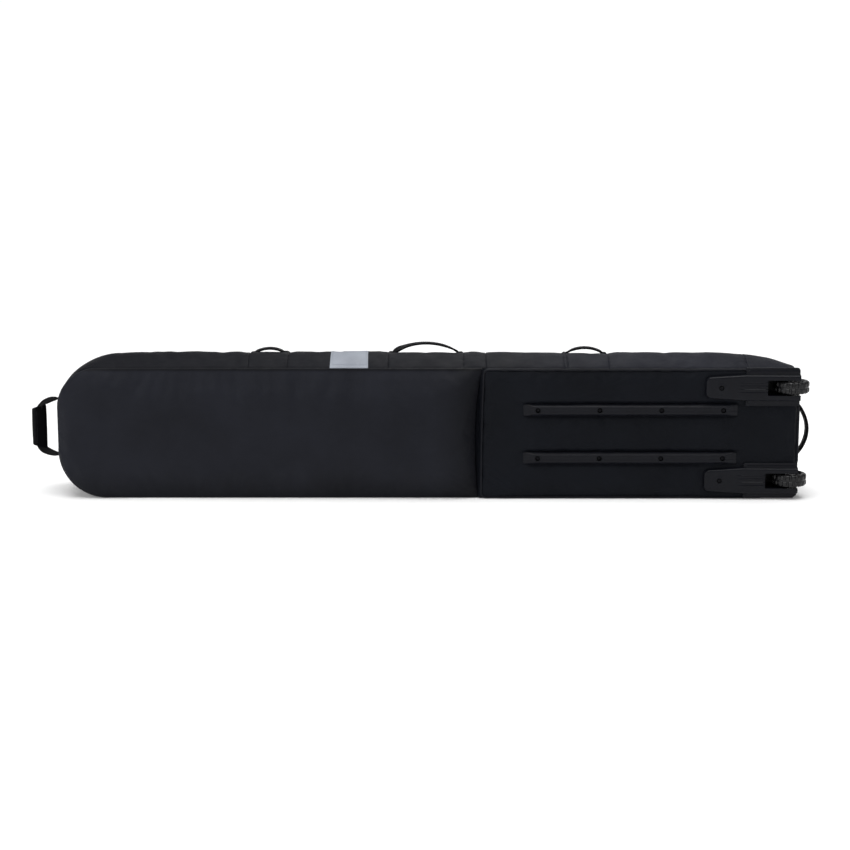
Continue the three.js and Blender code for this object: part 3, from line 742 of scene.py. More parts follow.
def fill_wall(coarse, fine, ys_coarse, ys_fine):
    """Movement of the padded wall between its seams, found on a coarse grid."""
    points, ways = surface(lambda y: body_run(y, coarse), ys_coarse)
    held = np.zeros(points.shape[:2], bool)
    held[[0, -1]] = True
    held[:, [0, -1]] = True
    held |= points[..., 2] < 0.004
    moved = settle(points, ways, held, 2.2, 0.012, 0.0035)
    from_s, to_s = (lengths(surface(lambda y: body_run(y, at), [0.0])[0][0]) for at in (coarse, fine))
    return resample(moved, ys_coarse, from_s / from_s[-1], ys_fine, to_s / to_s[-1])


def closest(places, value):
    return int(np.argmin(np.abs(places - value)))


def make_gusset():
    """Makes the wall all round but the tail; returns its points and their depths."""
    top_seams = [TAIL_SEAM_X - x for x in TOP_SEAMS_X]
    bottom_seams = [x - NOSE_SEAM_X for x in BOTTOM_SEAMS_X]
    top = clustered(TOP_LENGTH, 0.0042, top_seams + [0, TOP_LENGTH]) / TOP_LENGTH
    bottom = clustered(TOP_LENGTH, 0.006, bottom_seams + [0, TOP_LENGTH]) / TOP_LENGTH
    fine = SimpleNamespace(top=top[:-1], corner=even(44), side=even(34), bottom=bottom)
    coarse = SimpleNamespace(top=even(165), corner=even(16), side=even(14), bottom=even(90, True))
    ys = wall_depths()
    points, ways = surface(lambda y: body_run(y, fine), ys)
    points = points + 0.6 * fill_wall(coarse, fine, np.linspace(FRONT_Y, BACK_Y, 17), ys)
    first_bottom = len(points[0]) - len(bottom)
    seams = [closest(top, seam / TOP_LENGTH) for seam in top_seams]
    seams += [0, first_bottom, len(points[0]) - 1]
    seams += [first_bottom + closest(bottom, seam / TOP_LENGTH) for seam in bottom_seams]
    points = seam_wall(points, ways, seams, 20)
    piece = Shape().grid(points, ways).make("gusset_shell", [WALL, LINING])
    thicken(piece, GUSSET_WALL, 1)
    finish_piece(piece, "root", "shell_fabric", "top_gusset", "nose_gusset", "bottom_gusset")
    return points, ys


def tail_run(y, straight, corner, side):
    """Round the tail, from the lower cross seam to the upper one."""
    s = section(y)
    r = s.tail_radius
    turn = s.tail - r
    return joined(
        line((TAIL_SEAM_X, s.low), (turn, s.low), DOWN, straight),
        arc((turn, s.low + r), r, -90, 0, corner),
        line((s.tail, s.low + r), (s.tail, s.high - r), RIGHT, side),
        arc((turn, s.high - r), r, 0, 90, corner),
        line((turn, s.high), (TAIL_SEAM_X, s.high), UP, 1 - straight[::-1]),
    )


def middle_of(node):
    low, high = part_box(node)
    return (low + high) / 2


wheel_centres = {side: middle_of(f"wheel_tyre_{side}") for side in SIDES}
housings = {side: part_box(f"wheel_housing_{side}") for side in SIDES}
WELL_HALF = 0.026  # half height of the room for a wheel well
WELL_X = 0.8055
WELL_DEEP_Y = -0.0227
PAST_TAIL_X = 0.93  # beyond everything at the tail


def cut_wells(piece):
    """Room for both wheel wells."""
    for side in SIDES:
        z = wheel_centres[side].z
        cut_window(piece, (WELL_X, -0.12, z - WELL_HALF), (PAST_TAIL_X, WELL_DEEP_Y, z + WELL_HALF))


def make_tail_gusset():
    straight = np.array([0, 0.006, 0.014, 0.03, 0.06, 0.12, 0.22, 0.34, 0.46, 0.58, 0.70, 0.82, 0.92])
    points, ways = surface(lambda y: tail_run(y, straight, even(22), even(56)), wall_depths())
    points = seam_wall(points, ways, [0, len(points[0]) - 1], 60, crown=0.0012)
    piece = Shape().grid(points, ways).make("tail_gusset_shell", [WALL, LINING])
    cut_wells(piece)
    thicken(piece, GUSSET_WALL, 1)
    finish_piece(piece, "root", "shell_fabric", "tail_gusset")


# ---- Base panels ----
FOLD_ROLL = 0.066  # how far the nose panel takes to turn in at the fold
NOSE_SWELL = 0.019
PANEL_RISE = 0.026
FOLD_DEEP_Y = -0.0733
NOSE_EDGE_Y, TAIL_EDGE_Y = -0.0800, -0.0790  # where the panels rise from their seams
TAIL_RISE = 0.0098


def fold_edge(t):
    """Where the nose panel ends at the fold, from its lower to its upper end."""
    above, below = clamp((t - 0.45) / 0.55), clamp((0.45 - t) / 0.45)
    return 0.1285 + 0.0165 * above**2.2 + 0.0085 * below**2


def tail_edge(t):
    """Where the tail panel's piping stands, leaning a little."""
    return 0.1440 + 0.0052 * clamp((t - 0.35) / 0.65) ** 1.5


def nose_panel_grid(places, ts):
    """Panel points from places along it and shares of its height."""
    r = NOSE_RADIUS[0]
    corner, roll = r * np.pi / 2, FOLD_ROLL * np.pi / 2
    straight = FOLD_X - FOLD_ROLL - (NOSE_X + r)
    angle = clamp(places / r, 0, np.pi / 2)
    x = NOSE_X + r * (1 - np.cos(angle)) + clamp(places - corner, 0, straight)
    turn = clamp((places - corner - straight) / FOLD_ROLL, 0, np.pi / 2)
    x = x + FOLD_ROLL * np.sin(turn)
    into = clamp(x - NOSE_X, 0, NOSE_LOW_RADIUS)
    low = (NOSE_LOW_RADIUS - np.sqrt(2 * NOSE_LOW_RADIUS * into - into**2))[None, :]
    high = SEAM_Z - (r * (1 - np.sin(angle)))[None, :]
    t = ts[:, None]
    z = mix(low, high, t)
    shift = clamp((x - 0.03) / (FOLD_X - 0.03))[None, :]
    x = x[None, :] + (fold_edge(t) - FOLD_X) * shift**2
    low_edge, high_edge = (edge_distance(x, z, (NOSE_X, 0), (FOLD_X + 1, SEAM_Z), corner_radius)
                           for corner_radius in (NOSE_LOW_RADIUS, r))
    edge = np.maximum(np.where(z < MID_Z, low_edge, high_edge), 0)
    rolled = np.cos(turn)[None, :]
    to_fold = clamp((x - NOSE_X) / (FOLD_X - NOSE_X))
    swell = NOSE_SWELL * to_fold**2 * 4 * t * (1 - t)
    y = NOSE_EDGE_Y + 0.0032 * near(edge, 0.0009) - (0.009 + swell) * rise(edge, PANEL_RISE) * rolled
    return np.stack([x, y, z], -1), edge


def nose_detail(points, edge):
    """Gathers beside the seams, soft dents, and creases by the fold."""
    x, z = points[..., 0], points[..., 2]
    inner = rise(edge, 0.04)
    push = 0.0009 * inner * ripple(x, z * 1.6, 0.24, 5) + 0.0003 * inner * ripple(x, z, 0.07, 6)
    gather = near(edge, 0.011) * rise(edge, 0.002)
    push = push + 0.00045 * gather * (wander(x + z, 0.016, 7) + 0.6 * wander(x + z, 0.009, 8))
    corner = clamp((NOSE_X + 0.13 - x) / 0.1)
    push = push + 0.0006 * near(edge, 0.02) * rise(edge, 0.003) * corner * wander(x - 2 * z, 0.02, 9)
    slope = (x - FOLD_X) * 0.55 + z
    crease = near(slope - 0.018, 0.02) * clamp((x - 0.03) / 0.05) * rise(edge, 0.01)
    return push + 0.0008 * crease * np.sin(2 * np.pi * slope / 0.017)


def make_nose_panel():
    r = NOSE_RADIUS[0]
    total = r * np.pi / 2 + FOLD_X - FOLD_ROLL - NOSE_X - r + FOLD_ROLL * np.pi / 2
    fine = clustered(total, 0.0034, [0])
    ts = clustered(SEAM_Z, 0.0042, [0, SEAM_Z]) / SEAM_Z
    points, edge = nose_panel_grid(fine, ts)
    coarse, ts_coarse = np.linspace(0, total, 150), np.linspace(0, 1, 44)
    rough, rough_edge = nose_panel_grid(coarse, ts_coarse)
    held = rough_edge < 0.0035
    held[:, -1] = True
    moved = settle(rough, (0, -1, 0), held, 2.6, 0.010, 0.006)
    points = points + resample(moved, ts_coarse, coarse, ts, fine)
    points[..., 1] -= nose_detail(points, edge)
    end = points[:, -1:].copy()
    end[..., 1] = FOLD_DEEP_Y
    points = np.concatenate([points, mix(points[:, -1:], end, 0.5), end], 1)
    piece = Shape().grid(points, (0, -1, 0)).make("nose_base_cover", [NOSE_FABRIC])
    thicken(piece, 0.0012)
    finish_piece(piece, "root", "base_fabric", "nose_base_panel")


RAIL_BOXES = {side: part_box(f"skid_rail_{side}") for side in SIDES}


def pressed_down(x, z, margin):
    """Where rails and wheel housings clamp the tail panel."""
    held = np.zeros(np.broadcast(x, z).shape, bool)
    for low, high in [*RAIL_BOXES.values(), *housings.values()]:
        held |= (x > low.x + margin) & (x < high.x) & (z > low.z + margin) & (z < high.z - margin)
    return held


def tail_panel_grid(places, ts):
    width = TAIL_X - TAIL_PANEL_X
    t = ts[:, None]
    z = t * SEAM_Z
    left = tail_edge(t) - 0.0028
    share = (places / width)[None, :]
    x = mix(left, TAIL_X, share) * np.ones_like(z)
    z = z * np.ones_like(x)
    straight_x = x - (left - TAIL_PANEL_X)
    edge = np.maximum(edge_distance(straight_x, z, (TAIL_PANEL_X, 0), (TAIL_X, SEAM_Z), 0.012), 0)
    y = TAIL_EDGE_Y - TAIL_RISE * rise(edge, 0.0085)
    x = x + tail_fill(z) * rise(x - TAIL_X + 0.09, 0.09)
    return np.stack([x, y, z], -1), edge


def make_tail_panel():
    width = TAIL_X - TAIL_PANEL_X
    fine = clustered(width, 0.0038, [0, width, WELL_X - TAIL_PANEL_X])
    ts = clustered(SEAM_Z, 0.0036, [0, SEAM_Z]) / SEAM_Z
    points, edge = tail_panel_grid(fine, ts)
    coarse, ts_coarse = np.linspace(0, width, 126), np.linspace(0, 1, 54)
    rough, rough_edge = tail_panel_grid(coarse, ts_coarse)
    held = (rough_edge < 0.004) | pressed_down(rough[..., 0], rough[..., 2], 0.004)
    held[:, [0, -1]] = True
    moved = settle(rough, (0, -1, 0), held, 2.2, 0.012, 0.0045)
    points = points + resample(moved, ts_coarse, coarse, ts, fine)
    x, z = points[..., 0], points[..., 2]
    push = 0.0005 * rise(edge, 0.03) * ripple(x, z, 0.16, 31)
    push = push + 0.0002 * rise(edge, 0.01) * ripple(x, z, 0.05, 32)
    push = push + 0.0004 * near(edge, 0.012) * rise(edge, 0.003) * wander(x + z, 0.014, 33)
    for low, high in RAIL_BOXES.values():
        along = rise(x - low.x + 0.01, 0.04) * rise(high.x + 0.012 - x, 0.03)
        push = push + 0.0026 * along * bell(z - high.z - 0.011, 0.008)
        push = push - 0.0062 * along * bell(z - high.z - 0.0012, 0.0036)
        push = push - 0.0034 * along * bell(z - low.z + 0.0006, 0.0026)
    slope = (x - TAIL_PANEL_X) * 0.51 + z * 0.86
    fan = bell(slope - 0.055, 0.022) * clamp(1 - (x - TAIL_PANEL_X) / 0.13) * rise(edge, 0.012)
    push = push + 0.0011 * fan * np.sin(2 * np.pi * slope / 0.0165)
    points[..., 1] -= push
    piece = Shape().grid(points, (0, -1, 0)).make("tail_base_cover", [BASE])
    cut_wells(piece)
    thicken(piece, 0.0012)
    finish_piece(piece, "root", "base_fabric", "tail_base_panel")


def make_fold_gore():
    """The slanting strip that the base folds along, between the two panels."""
    ts = np.linspace(0.004, 0.996, 90)
    rows = []
    for t in ts:
        start, stop = fold_edge(t) - 0.004, tail_edge(t) - 0.0010
        foot = mix(start, stop, 0.06 + 0.50 * math.sin(math.pi * t) ** 0.7)
        z = t * SEAM_Z
        wave = 0.0004 * float(wander(np.array(z), 0.03, 77))
        slope = ((0.3, -0.0796 - wave), (0.6, -0.0838 - wave), (0.85, -0.0862), (1, -0.0870))
        rows.append([(start, FOLD_DEEP_Y, z), (foot, FOLD_DEEP_Y, z),
                     *[(mix(foot, stop, share), y, z) for share, y in slope]])
    # The strip takes the darker base fabric: partly the cloth it is, partly painted shade for the fold's
    # valley.
    piece = Shape().grid(np.array(rows), (0, -1, 0)).make("fold_gore", [BASE])
    thicken(piece, 0.0010)
    finish_piece(piece, "root", "base_fabric")


PIPING_RADIUS = 0.0021
PIPING_Y = -0.0871
PIPING_INSET = 0.0028
PIPING_END_X = 0.800  # under the wheel housings


def make_piping():
    """Piping from one wheel housing round the fold side to the other, and along the tail."""
    corner = 0.010
    bend = lambda centre, first, last: arc(centre, corner, first, last, even(10))[0]
    run = lambda x0, x1, z: np.stack([np.linspace(x0, x1, 150), np.full(150, z)], 1)
    low, high = PIPING_INSET, SEAM_Z - PIPING_INSET
    low_x, high_x = (tail_edge(z / SEAM_Z) + corner for z in (low, high))
    zs = np.linspace(low + corner, high - corner, 60)
    route = np.concatenate([
        run(PIPING_END_X, low_x, low),
        bend((low_x, low + corner), 270, 180),
        np.stack([tail_edge(zs / SEAM_Z), zs], 1),
        bend((high_x, high - corner), 180, 90),
        run(high_x, PIPING_END_X, high),
    ])
    lift = 0.0002 * wander(np.arange(len(route)) * 0.005, 0.09, 41)
    points = np.stack([route[:, 0], PIPING_Y - lift, route[:, 1]], 1)
    shape = Shape().solid(tube(points, PIPING_RADIUS))
    zs = np.linspace(housings["lower"][1].z + 0.001, housings["upper"][0].z - 0.001, 50)
    tail = np.stack([TAIL_X - PIPING_INSET + tail_fill(zs), 0 * zs + PIPING_Y, zs], 1)
    shape.solid(tube(tail, PIPING_RADIUS))
    piece = shape.make("tail_panel_cord", [PIPING], closed=True)
    finish_piece(piece, "root", "piping", "tail_panel_piping")


# ---- Skid rails, rivets and wheel housings ----
RIVET_OFFSETS = (-1.5, -0.5, 0.5, 1.5)
RIVET_SPACING = 0.144
RAIL_RAMP = 0.027
RAIL_TOE = 0.0016


RAIL_GROOVE = (0.0028, 0.0034)  # half width of the fine groove along the middle, at its foot and its edge
GROOVE_DEPTH = 0.00035
RAIL_SEAT_Y, HOUSING_SEAT_Y = -0.0945, -0.0970  # how deep the rivets' seats go
SEAT_RADIUS = 0.0062
CUTTER_LENGTH = 0.03


def seat_cutter(x, z, back_y):
    """Closed cylinder along Y, for a rivet's counterbore."""
    profile = [(SEAT_RADIUS, 0), (SEAT_RADIUS, CUTTER_LENGTH)]
    return turned(profile, (x, back_y - CUTTER_LENGTH, z), (0, 1, 0), 36).cutter()


def make_rails():
    for side in SIDES:
        low, high = RAIL_BOXES[side]
        z, half = (low.z + high.z) / 2, (high.z - low.z) / 2
        close = np.linspace(0, 0.03, 12)
        xs = np.unique(np.concatenate([np.linspace(low.x, high.x, 90), low.x + close, high.x - close]))
        rings = []
        for x in xs:
            from_end = min(x - low.x, high.x - x)
            top = RAIL_TOE + (SEAT_Y - low.y - RAIL_TOE) * float(clamp(from_end / RAIL_RAMP))
            width = half - 0.0016 * (1 - float(rise(np.array(from_end), 0.003)))
            flat = width - 0.0045 * float(clamp(from_end / RAIL_RAMP)) - 0.0006
            side_top = min(0.0032, top * 0.7)
            foot, lip = RAIL_GROOVE
            right = [(foot, top - GROOVE_DEPTH), (lip, top), (flat, top), (width, side_top), (width, 0)]
            radii = [0.0002, 0.0002, 0.0014, 0.0009, 0.0002]
            corners = [(-w, h) for w, h in right[::-1]] + right
            outline = filleted(corners, radii[::-1] + radii, 3)
            rings.append([(x, SEAT_Y - h, z + w) for w, h in outline])
        rail = Shape().solid(rings).make(f"skid_rail_cast_{side}", [RAIL], closed=True)
        middle = (low.x + high.x) / 2
        carve(rail, [seat_cutter(middle + n * RIVET_SPACING, z, RAIL_SEAT_Y) for n in RIVET_OFFSETS])
        finish_piece(rail, "root", "moulded_plastic", f"skid_rail_{side}")


def make_rivets():
    """Tubular rivets: a domed head with a rolled lip and a dimple."""
    names = [f"rail_rivet_{side}_{n}" for side in SIDES for n in range(1, 5)]
    names += [f"housing_rivet_{side}" for side in SIDES]
    for name in names:
        low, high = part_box(name)
        centre = ((low.x + high.x) / 2, low.y, (low.z + high.z) / 2)
        head = [(0.0, 0.0011), (0.0012, 0.0010), (0.0018, 0.0003), (0.0026, 0.0), (0.0038, 0.0004),
                (0.0047, 0.0012), (0.0050, 0.0019), (0.0049, 0.0024), (0.0022, 0.0024), (0.0022, 0.0200)]
        depth = high.y - low.y
        tail = [(0.0022, depth - 0.0012), (0.0043, depth - 0.0010), (0.0042, depth - 0.0002), (0.002, depth),
                (0, depth)]
        profile = [p for p in head if p[1] < depth - 0.0015] + tail
        piece = turned(profile, centre, (0, 1, 0)).make(f"{name}_head", [RIVET], closed=True, sharp=50)
        finish_piece(piece, "root", "rivet_metal", name)


def rounded_plate(shape, outline, levels, axis):
    """Adds an outline stacked along an axis, drawn in by each level's inset, as a closed solid."""
    centre = (outline.max(0) + outline.min(0)) / 2
    half = (outline.max(0) - outline.min(0)) / 2
    drawn = [(centre + (outline - centre) * (1 - inset / half), level) for level, inset in levels]
    return shape.solid([np.insert(ring_points, axis, level, 1) for ring_points, level in drawn])


def rectangle(a0, a1, b0, b1, radius, count=8):
    return filleted([(a0, b0), (a1, b0), (a1, b1), (a0, b1)], radius, count)


# Half height of the hump at distances from its tip.
HOUSING_HALF = ((0.0, 0.0165), (0.002, 0.0205), (0.006, 0.0240), (0.012, 0.0258), (0.093, 0.0310),
                (0.2195, 0.0310))
SHOULDER = 0.0055  # width of the hump's rounding along both sides
HOUSING_RIBS_Z = (-0.0115, -0.0038, 0.0038, 0.0115)


def housing_body(low, high, z):
    """The long moulded hump, tapering to a rounded end, with ribs towards the slot."""
    tip = low.x + np.array([0, 0.0006, 0.0015, 0.003, 0.005, 0.008])
    xs = np.unique(np.concatenate([tip, np.linspace(tip[-1], high.x, 70)]))
    face = np.linspace(-1, 1, 61)
    rings = []
    for x in xs:
        gone = x - low.x
        half = np.interp(gone, *zip(*HOUSING_HALF))
        height = 0.0096 + 0.0040 * gone / (high.x - low.x)
        height = height * (0.35 + 0.65 * float(dome(gone / 0.009)))
        ribbed = float(clamp((gone - 0.074) / 0.012) * clamp((0.150 - gone) / 0.01))
        across = face * half
        top = height * (0.42 + 0.58 * dome((half - np.abs(across)) / SHOULDER))
        ribs = sum(np.exp(-(((across - offset) / 0.0013) ** 4)) for offset in HOUSING_RIBS_Z)
        dish = 0.0006 * (1 - (across / half) ** 2)
        pad = np.exp(-((np.hypot(gone - 0.036, across) / 0.0105) ** 6))
        top = top + 0.0009 * ribs * ribbed + dish + 0.0007 * pad
        over = [(x, SEAT_Y - h, z + a) for h, a in zip(top, across)]
        rings.append([(x, SEAT_Y, z - half), *over, (x, SEAT_Y, z + half)])
    return Shape().solid(rings)


FLANGE_EDGES = {"upper": (-0.0435, 0.0470), "lower": (-0.0425, 0.0415)}  # from the wheel's middle
# Radius of each flange's lower and upper corner at the tail.
FLANGE_ENDS = {"upper": (0.004, 0.009), "lower": (0.017, 0.004)}
FLANGE_X = 0.758
STEP_IN = 0.0055  # from the flange's edges to the raised step on it
WELL_WALL = 0.0235  # half height of the wheel well, over its walls
SLOT_HALF, SLOT_X = 0.018, 0.808
HOUSING_RIVET_X = 0.701


def make_housings():
    for side in SIDES:
        low, high = housings[side]
        z = wheel_centres[side].z
        z0, z1 = (z + edge for edge in FLANGE_EDGES[side])
        shape = housing_body(low, high, z)
        low_end, high_end = FLANGE_ENDS[side]
        flange = rectangle(FLANGE_X, high.x, z0, z1, [0.004, low_end, high_end, 0.004])
        levels = [(SEAT_Y, 0), (-0.0915, 0), (-0.0926, 0.0003), (-0.0933, 0.0009), (-0.0936, 0.0018)]
        rounded_plate(shape, flange, levels, Y)
        step = rectangle(FLANGE_X + 0.004, high.x - 0.0012, z0 + STEP_IN, z1 - STEP_IN, 0.006)
        rounded_plate(shape, step, [(-0.0920, 0), (-0.0946, 0), (-0.0953, 0.0004), (-0.0957, 0.0012)], Y)
        tail = rectangle(-0.0930, CORNER_Y, z0 + low_end, z1 - high_end, [0.002, 0.012, 0.014, 0.002])
        levels = [(TAIL_X + 0.0004, 0), (high.x - 0.0016, 0), (high.x - 0.0005, 0.0004), (high.x, 0.0016)]
        rounded_plate(shape, tail, levels, X)
        outer = rectangle(-0.092, WELL_DEEP_Y - 0.0003, z - WELL_WALL, z + WELL_WALL, 0.003, 4)
        rounded_plate(shape, outer, [(WELL_X + 0.0005, 0), (TAIL_X + 0.002, 0)], X)
        housing = shape.make(f"wheel_housing_cast_{side}", [PLASTIC], closed=True)
        mouth = rectangle(SLOT_X, PAST_TAIL_X, z - SLOT_HALF, z + SLOT_HALF, 0.003, 5)
        slot = rounded_plate(Shape(), mouth, [(-0.14, 0), (WELL_DEEP_Y - 0.0043, 0)], Y)
        carve(housing, [slot.cutter(), seat_cutter(HOUSING_RIVET_X, z, HOUSING_SEAT_Y)])
        finish_piece(housing, "root", "moulded_plastic", f"wheel_housing_{side}")


# ---- Wheels ----
LUGS = 18
LUG_DEPTH = 0.0030
HUB_RIBS = 8


def ring(shape, half_profile, centre, count=64):
    """Adds a ring about an upright axis, from the upper half of its profile as [radius, height] pairs."""
    angle = 2 * np.pi * even(count)
    spokes = np.stack([np.cos(angle), np.sin(angle), 0 * angle], 1)
    rings = [np.array(centre) + spokes * r + np.array((0, 0, h)) for r, h in mirrored(half_profile)]
    return shape.grid(np.array(rings), wrap=(True, True))


def mirrored(half):
    return [*half, *[(r, -h) for r, h in half[::-1]]]


def make_tyre(side, centre):
    """Soft tyre with square tread blocks on both shoulders and a groove round the middle."""
    half_profile = [(0.0263, 0.0), (0.0263, 0.0108), (0.0290, 0.0132), (0.0320, 0.0143), (0.0352, 0.0141),
                    (0.0374, 0.0130), (0.0388, 0.0118), (0.0398, 0.0098), (0.0400, 0.0075), (0.0400, 0.0045),
                    (0.0399, 0.0026), (0.0391, 0.0019), (0.0386, 0.0012)]
    angle = 2 * np.pi * even(LUGS * 10)
    rings = []
    for r, h in mirrored(half_profile):
        phase = LUGS * angle + (math.pi / 2 if h > 0 else -math.pi / 2)
        gap = 1 / (1 + np.exp((np.cos(phase) + 0.45) * 9))
        deep = LUG_DEPTH * float(clamp((r - 0.0345) / 0.003)) * float(clamp((abs(h) - 0.0018) / 0.001))
        radius = r - deep * gap
        height = h - math.copysign(0.0009, h) * gap * float(r > 0.033 and abs(h) > 0.011)
        points = np.stack([np.cos(angle) * radius, np.sin(angle) * radius, height + 0 * angle], 1)
        rings.append(points + np.array(centre))
    tread = Shape().grid(np.array(rings), wrap=(True, True))
    return tread.make(f"wheel_tyre_tread_{side}", [TYRE], closed=True, sharp=42)


def make_hub(side, centre):
    """Moulded hub: a rim, a bearing boss, a thin web and ribs on both faces."""
    shape = Shape()
    rim = [(0.0222, 0.0), (0.0222, 0.0086), (0.0228, 0.0094), (0.0254, 0.0097), (0.0260, 0.0090),
           (0.0260, 0.0)]
    boss = [(0.0114, 0.0), (0.0114, 0.0090), (0.0120, 0.0095), (0.0148, 0.0095), (0.0154, 0.0088),
            (0.0158, 0.0)]
    web = [(0.0150, 0.0), (0.0150, 0.0030), (0.0228, 0.0030), (0.0228, 0.0)]
    for half_profile in (rim, boss, web):
        ring(shape, half_profile, centre)
    rib = rectangle(-0.0082, 0.0082, -0.0011, 0.0011, 0.0007, 3)
    for n in range(HUB_RIBS):
        angle = 2 * math.pi * n / HUB_RIBS
        along = np.array([math.cos(angle), math.sin(angle), 0])
        route = np.array(centre) + np.outer([0.0150, 0.0190, 0.0228], along)
        shape.solid(sweep(route, lambda t: rib, (0, 0, 1)))
    return shape.make(f"wheel_hub_cast_{side}", [HUB], closed=True, sharp=35)


def make_wheels():
    for side in SIDES:
        centre = tuple(wheel_centres[side])
        finish_piece(make_tyre(side, centre), None, "wheel_tyre", f"wheel_tyre_{side}")
        finish_piece(make_hub(side, centre), None, "wheel_hub", f"wheel_hub_{side}")
        for n in (1, 2):
            node = f"wheel_bearing_{side}_{n}"
            low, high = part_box(node)
            half = (high.z - low.z) / 2
            races = [(0.0041, 0.0), (0.0041, half - 0.0003), (0.0044, half), (0.0058, half),
                     (0.0060, half - 0.0005), (0.0090, half - 0.0005), (0.0092, half), (0.0107, half),
                     (0.0110, half - 0.0003), (0.0110, 0.0)]
            bearing = ring(Shape(), races, middle_of(node), 48)
            bearing = bearing.make(f"wheel_bearing_races_{side}_{n}", [STEEL], closed=True, sharp=30)
            finish_piece(bearing, None, "steel", node)
        low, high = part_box(f"wheel_axle_{side}")
        tall = high.z - low.z
        profile = [(0, 0), (0.0030, 0.0), (0.0032, 0.0006), (0.0060, 0.0006), (0.0069, 0.0010),
                   (0.0070, 0.0017), (0.00375, 0.0017), (0.00375, tall - 0.0017), (0.0059, tall - 0.0016),
                   (0.0060, tall - 0.0005), (0.0045, tall), (0, tall)]
        base = ((low.x + high.x) / 2, (low.y + high.y) / 2, low.z)
        axle = turned(profile, base, (0, 0, 1)).make(f"wheel_axle_pin_{side}", [STEEL], closed=True, sharp=30)
        finish_piece(axle, None, "steel", f"wheel_axle_{side}")


# ---- Handles ----
HANDLE_Y = 0.020
HANDLE_FOOT = 0.012
WEB_WIDTH = 0.025
WEB_THICK = 0.0042
ROOT_WIDTH = 0.009
ROOT_LIFT = 0.007  # how far above the upper side a haul handle is hinged
STITCH_ROW = 0.0095  # from a handle's middle to either row of stitches
NOSE_ROOTS_Z, TAIL_ROOTS_Z = (0.090, 0.224), (0.085, 0.215)
GRIP_SEAM = 0.42  # where the grip's seam lies, as a share of its half width


def gathered(width, thickness):
    """Webbing that narrows and thickens towards both roots."""
    def at(t):
        open_share = float(rise(np.array(min(t, 1 - t)), 0.15))
        return strap_section(mix(ROOT_WIDTH, width, open_share), mix(thickness * 1.25, thickness, open_share))
    return at


def foot_section(t):
    """A foot's webbing, narrowing from its seam to the handle's root."""
    narrowed = float(rise(np.array(t), 1.0)) ** 0.8
    return strap_section(mix(WEB_WIDTH + 0.001, ROOT_WIDTH, narrowed), mix(0.0026, 0.0052, t))


def add_foot(feet, seam, root, foot_z, top_height):
    """Webbing that rises from a cross seam in the upper wall to a handle's root."""
    ts = np.linspace(0, 1, 14)
    xs = mix(seam, root + (root - seam) * 0.05, ts)
    under = np.array([top_height(x, HANDLE_Y) for x in xs]) - 0.001
    heights = mix(under, np.full_like(ts, foot_z - 0.0008), rise(ts, 1.0) ** 1.3)
    heights = np.maximum(heights, under + 0.002 * rise(ts, 0.3))
    feet.solid(sweep(np.stack([xs, HANDLE_Y + 0 * xs, heights], 1), foot_section))


def make_haul_handles(top_height):
    for place, (seam0, seam1, twist) in HAUL_HANDLES.items():
        low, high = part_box(f"haul_handle_{place}")
        x0, x1 = seam0 + HANDLE_FOOT, seam1 - HANDLE_FOOT
        foot_z = SEAM_Z + TOP_CROWN + ROOT_LIFT
        ts = np.linspace(0, 1, 72)
        arch = np.sin(np.pi * ts) ** 0.7
        lean = 0.0035 * np.sin(2 * np.pi * ts) * (x1 - x0) / 0.15
        zs = mix(foot_z, high.z - WEB_THICK / 2 - 0.0002, arch)
        route = np.stack([mix(x0, x1, ts) - lean * 0.3, HANDLE_Y + 0 * ts, zs], 1)
        turn = np.radians(twist) * (near(ts, 0.10) - 0.4 * near(1 - ts, 0.08))
        ways = np.stack([0 * ts, np.cos(turn), np.sin(turn)], 1)
        shape = Shape().solid(sweep(route, gathered(WEB_WIDTH, WEB_THICK), ways))
        middle = (ts > 0.2) & (ts < 0.8)
        for side in (-STITCH_ROW, STITCH_ROW):
            row = route[middle] + ways[middle] * side + np.array((0, 0, WEB_THICK / 2 - 0.0001))
            stitch(shape, row, (0, 0, 1), slot=1)
        loop = shape.make(f"haul_handle_loop_{place}", [WEBBING, THREAD_DARK], closed=True, sharp=60)
        finish_piece(loop, None, "webbing", f"haul_handle_{place}")
        feet = Shape()
        for seam, root in ((seam0, x0), (seam1, x1)):
            add_foot(feet, seam, root, foot_z, top_height)
        piece = feet.make(f"haul_handle_feet_{place}", [WEBBING], closed=True, sharp=60)
        finish_piece(piece, "root", "webbing")


def smooth_route(points, count):
    """A curve through given points."""
    points = np.asarray(points, float)
    s = lengths(points)
    fine = np.linspace(0, s[-1], count)
    route = np.stack([np.interp(fine, s, points[:, k]) for k in range(3)], 1)
    for _ in range(max(2, count // 14)):
        route[1:-1] = (route[:-2] + 2 * route[1:-1] + route[2:]) / 4
    return route


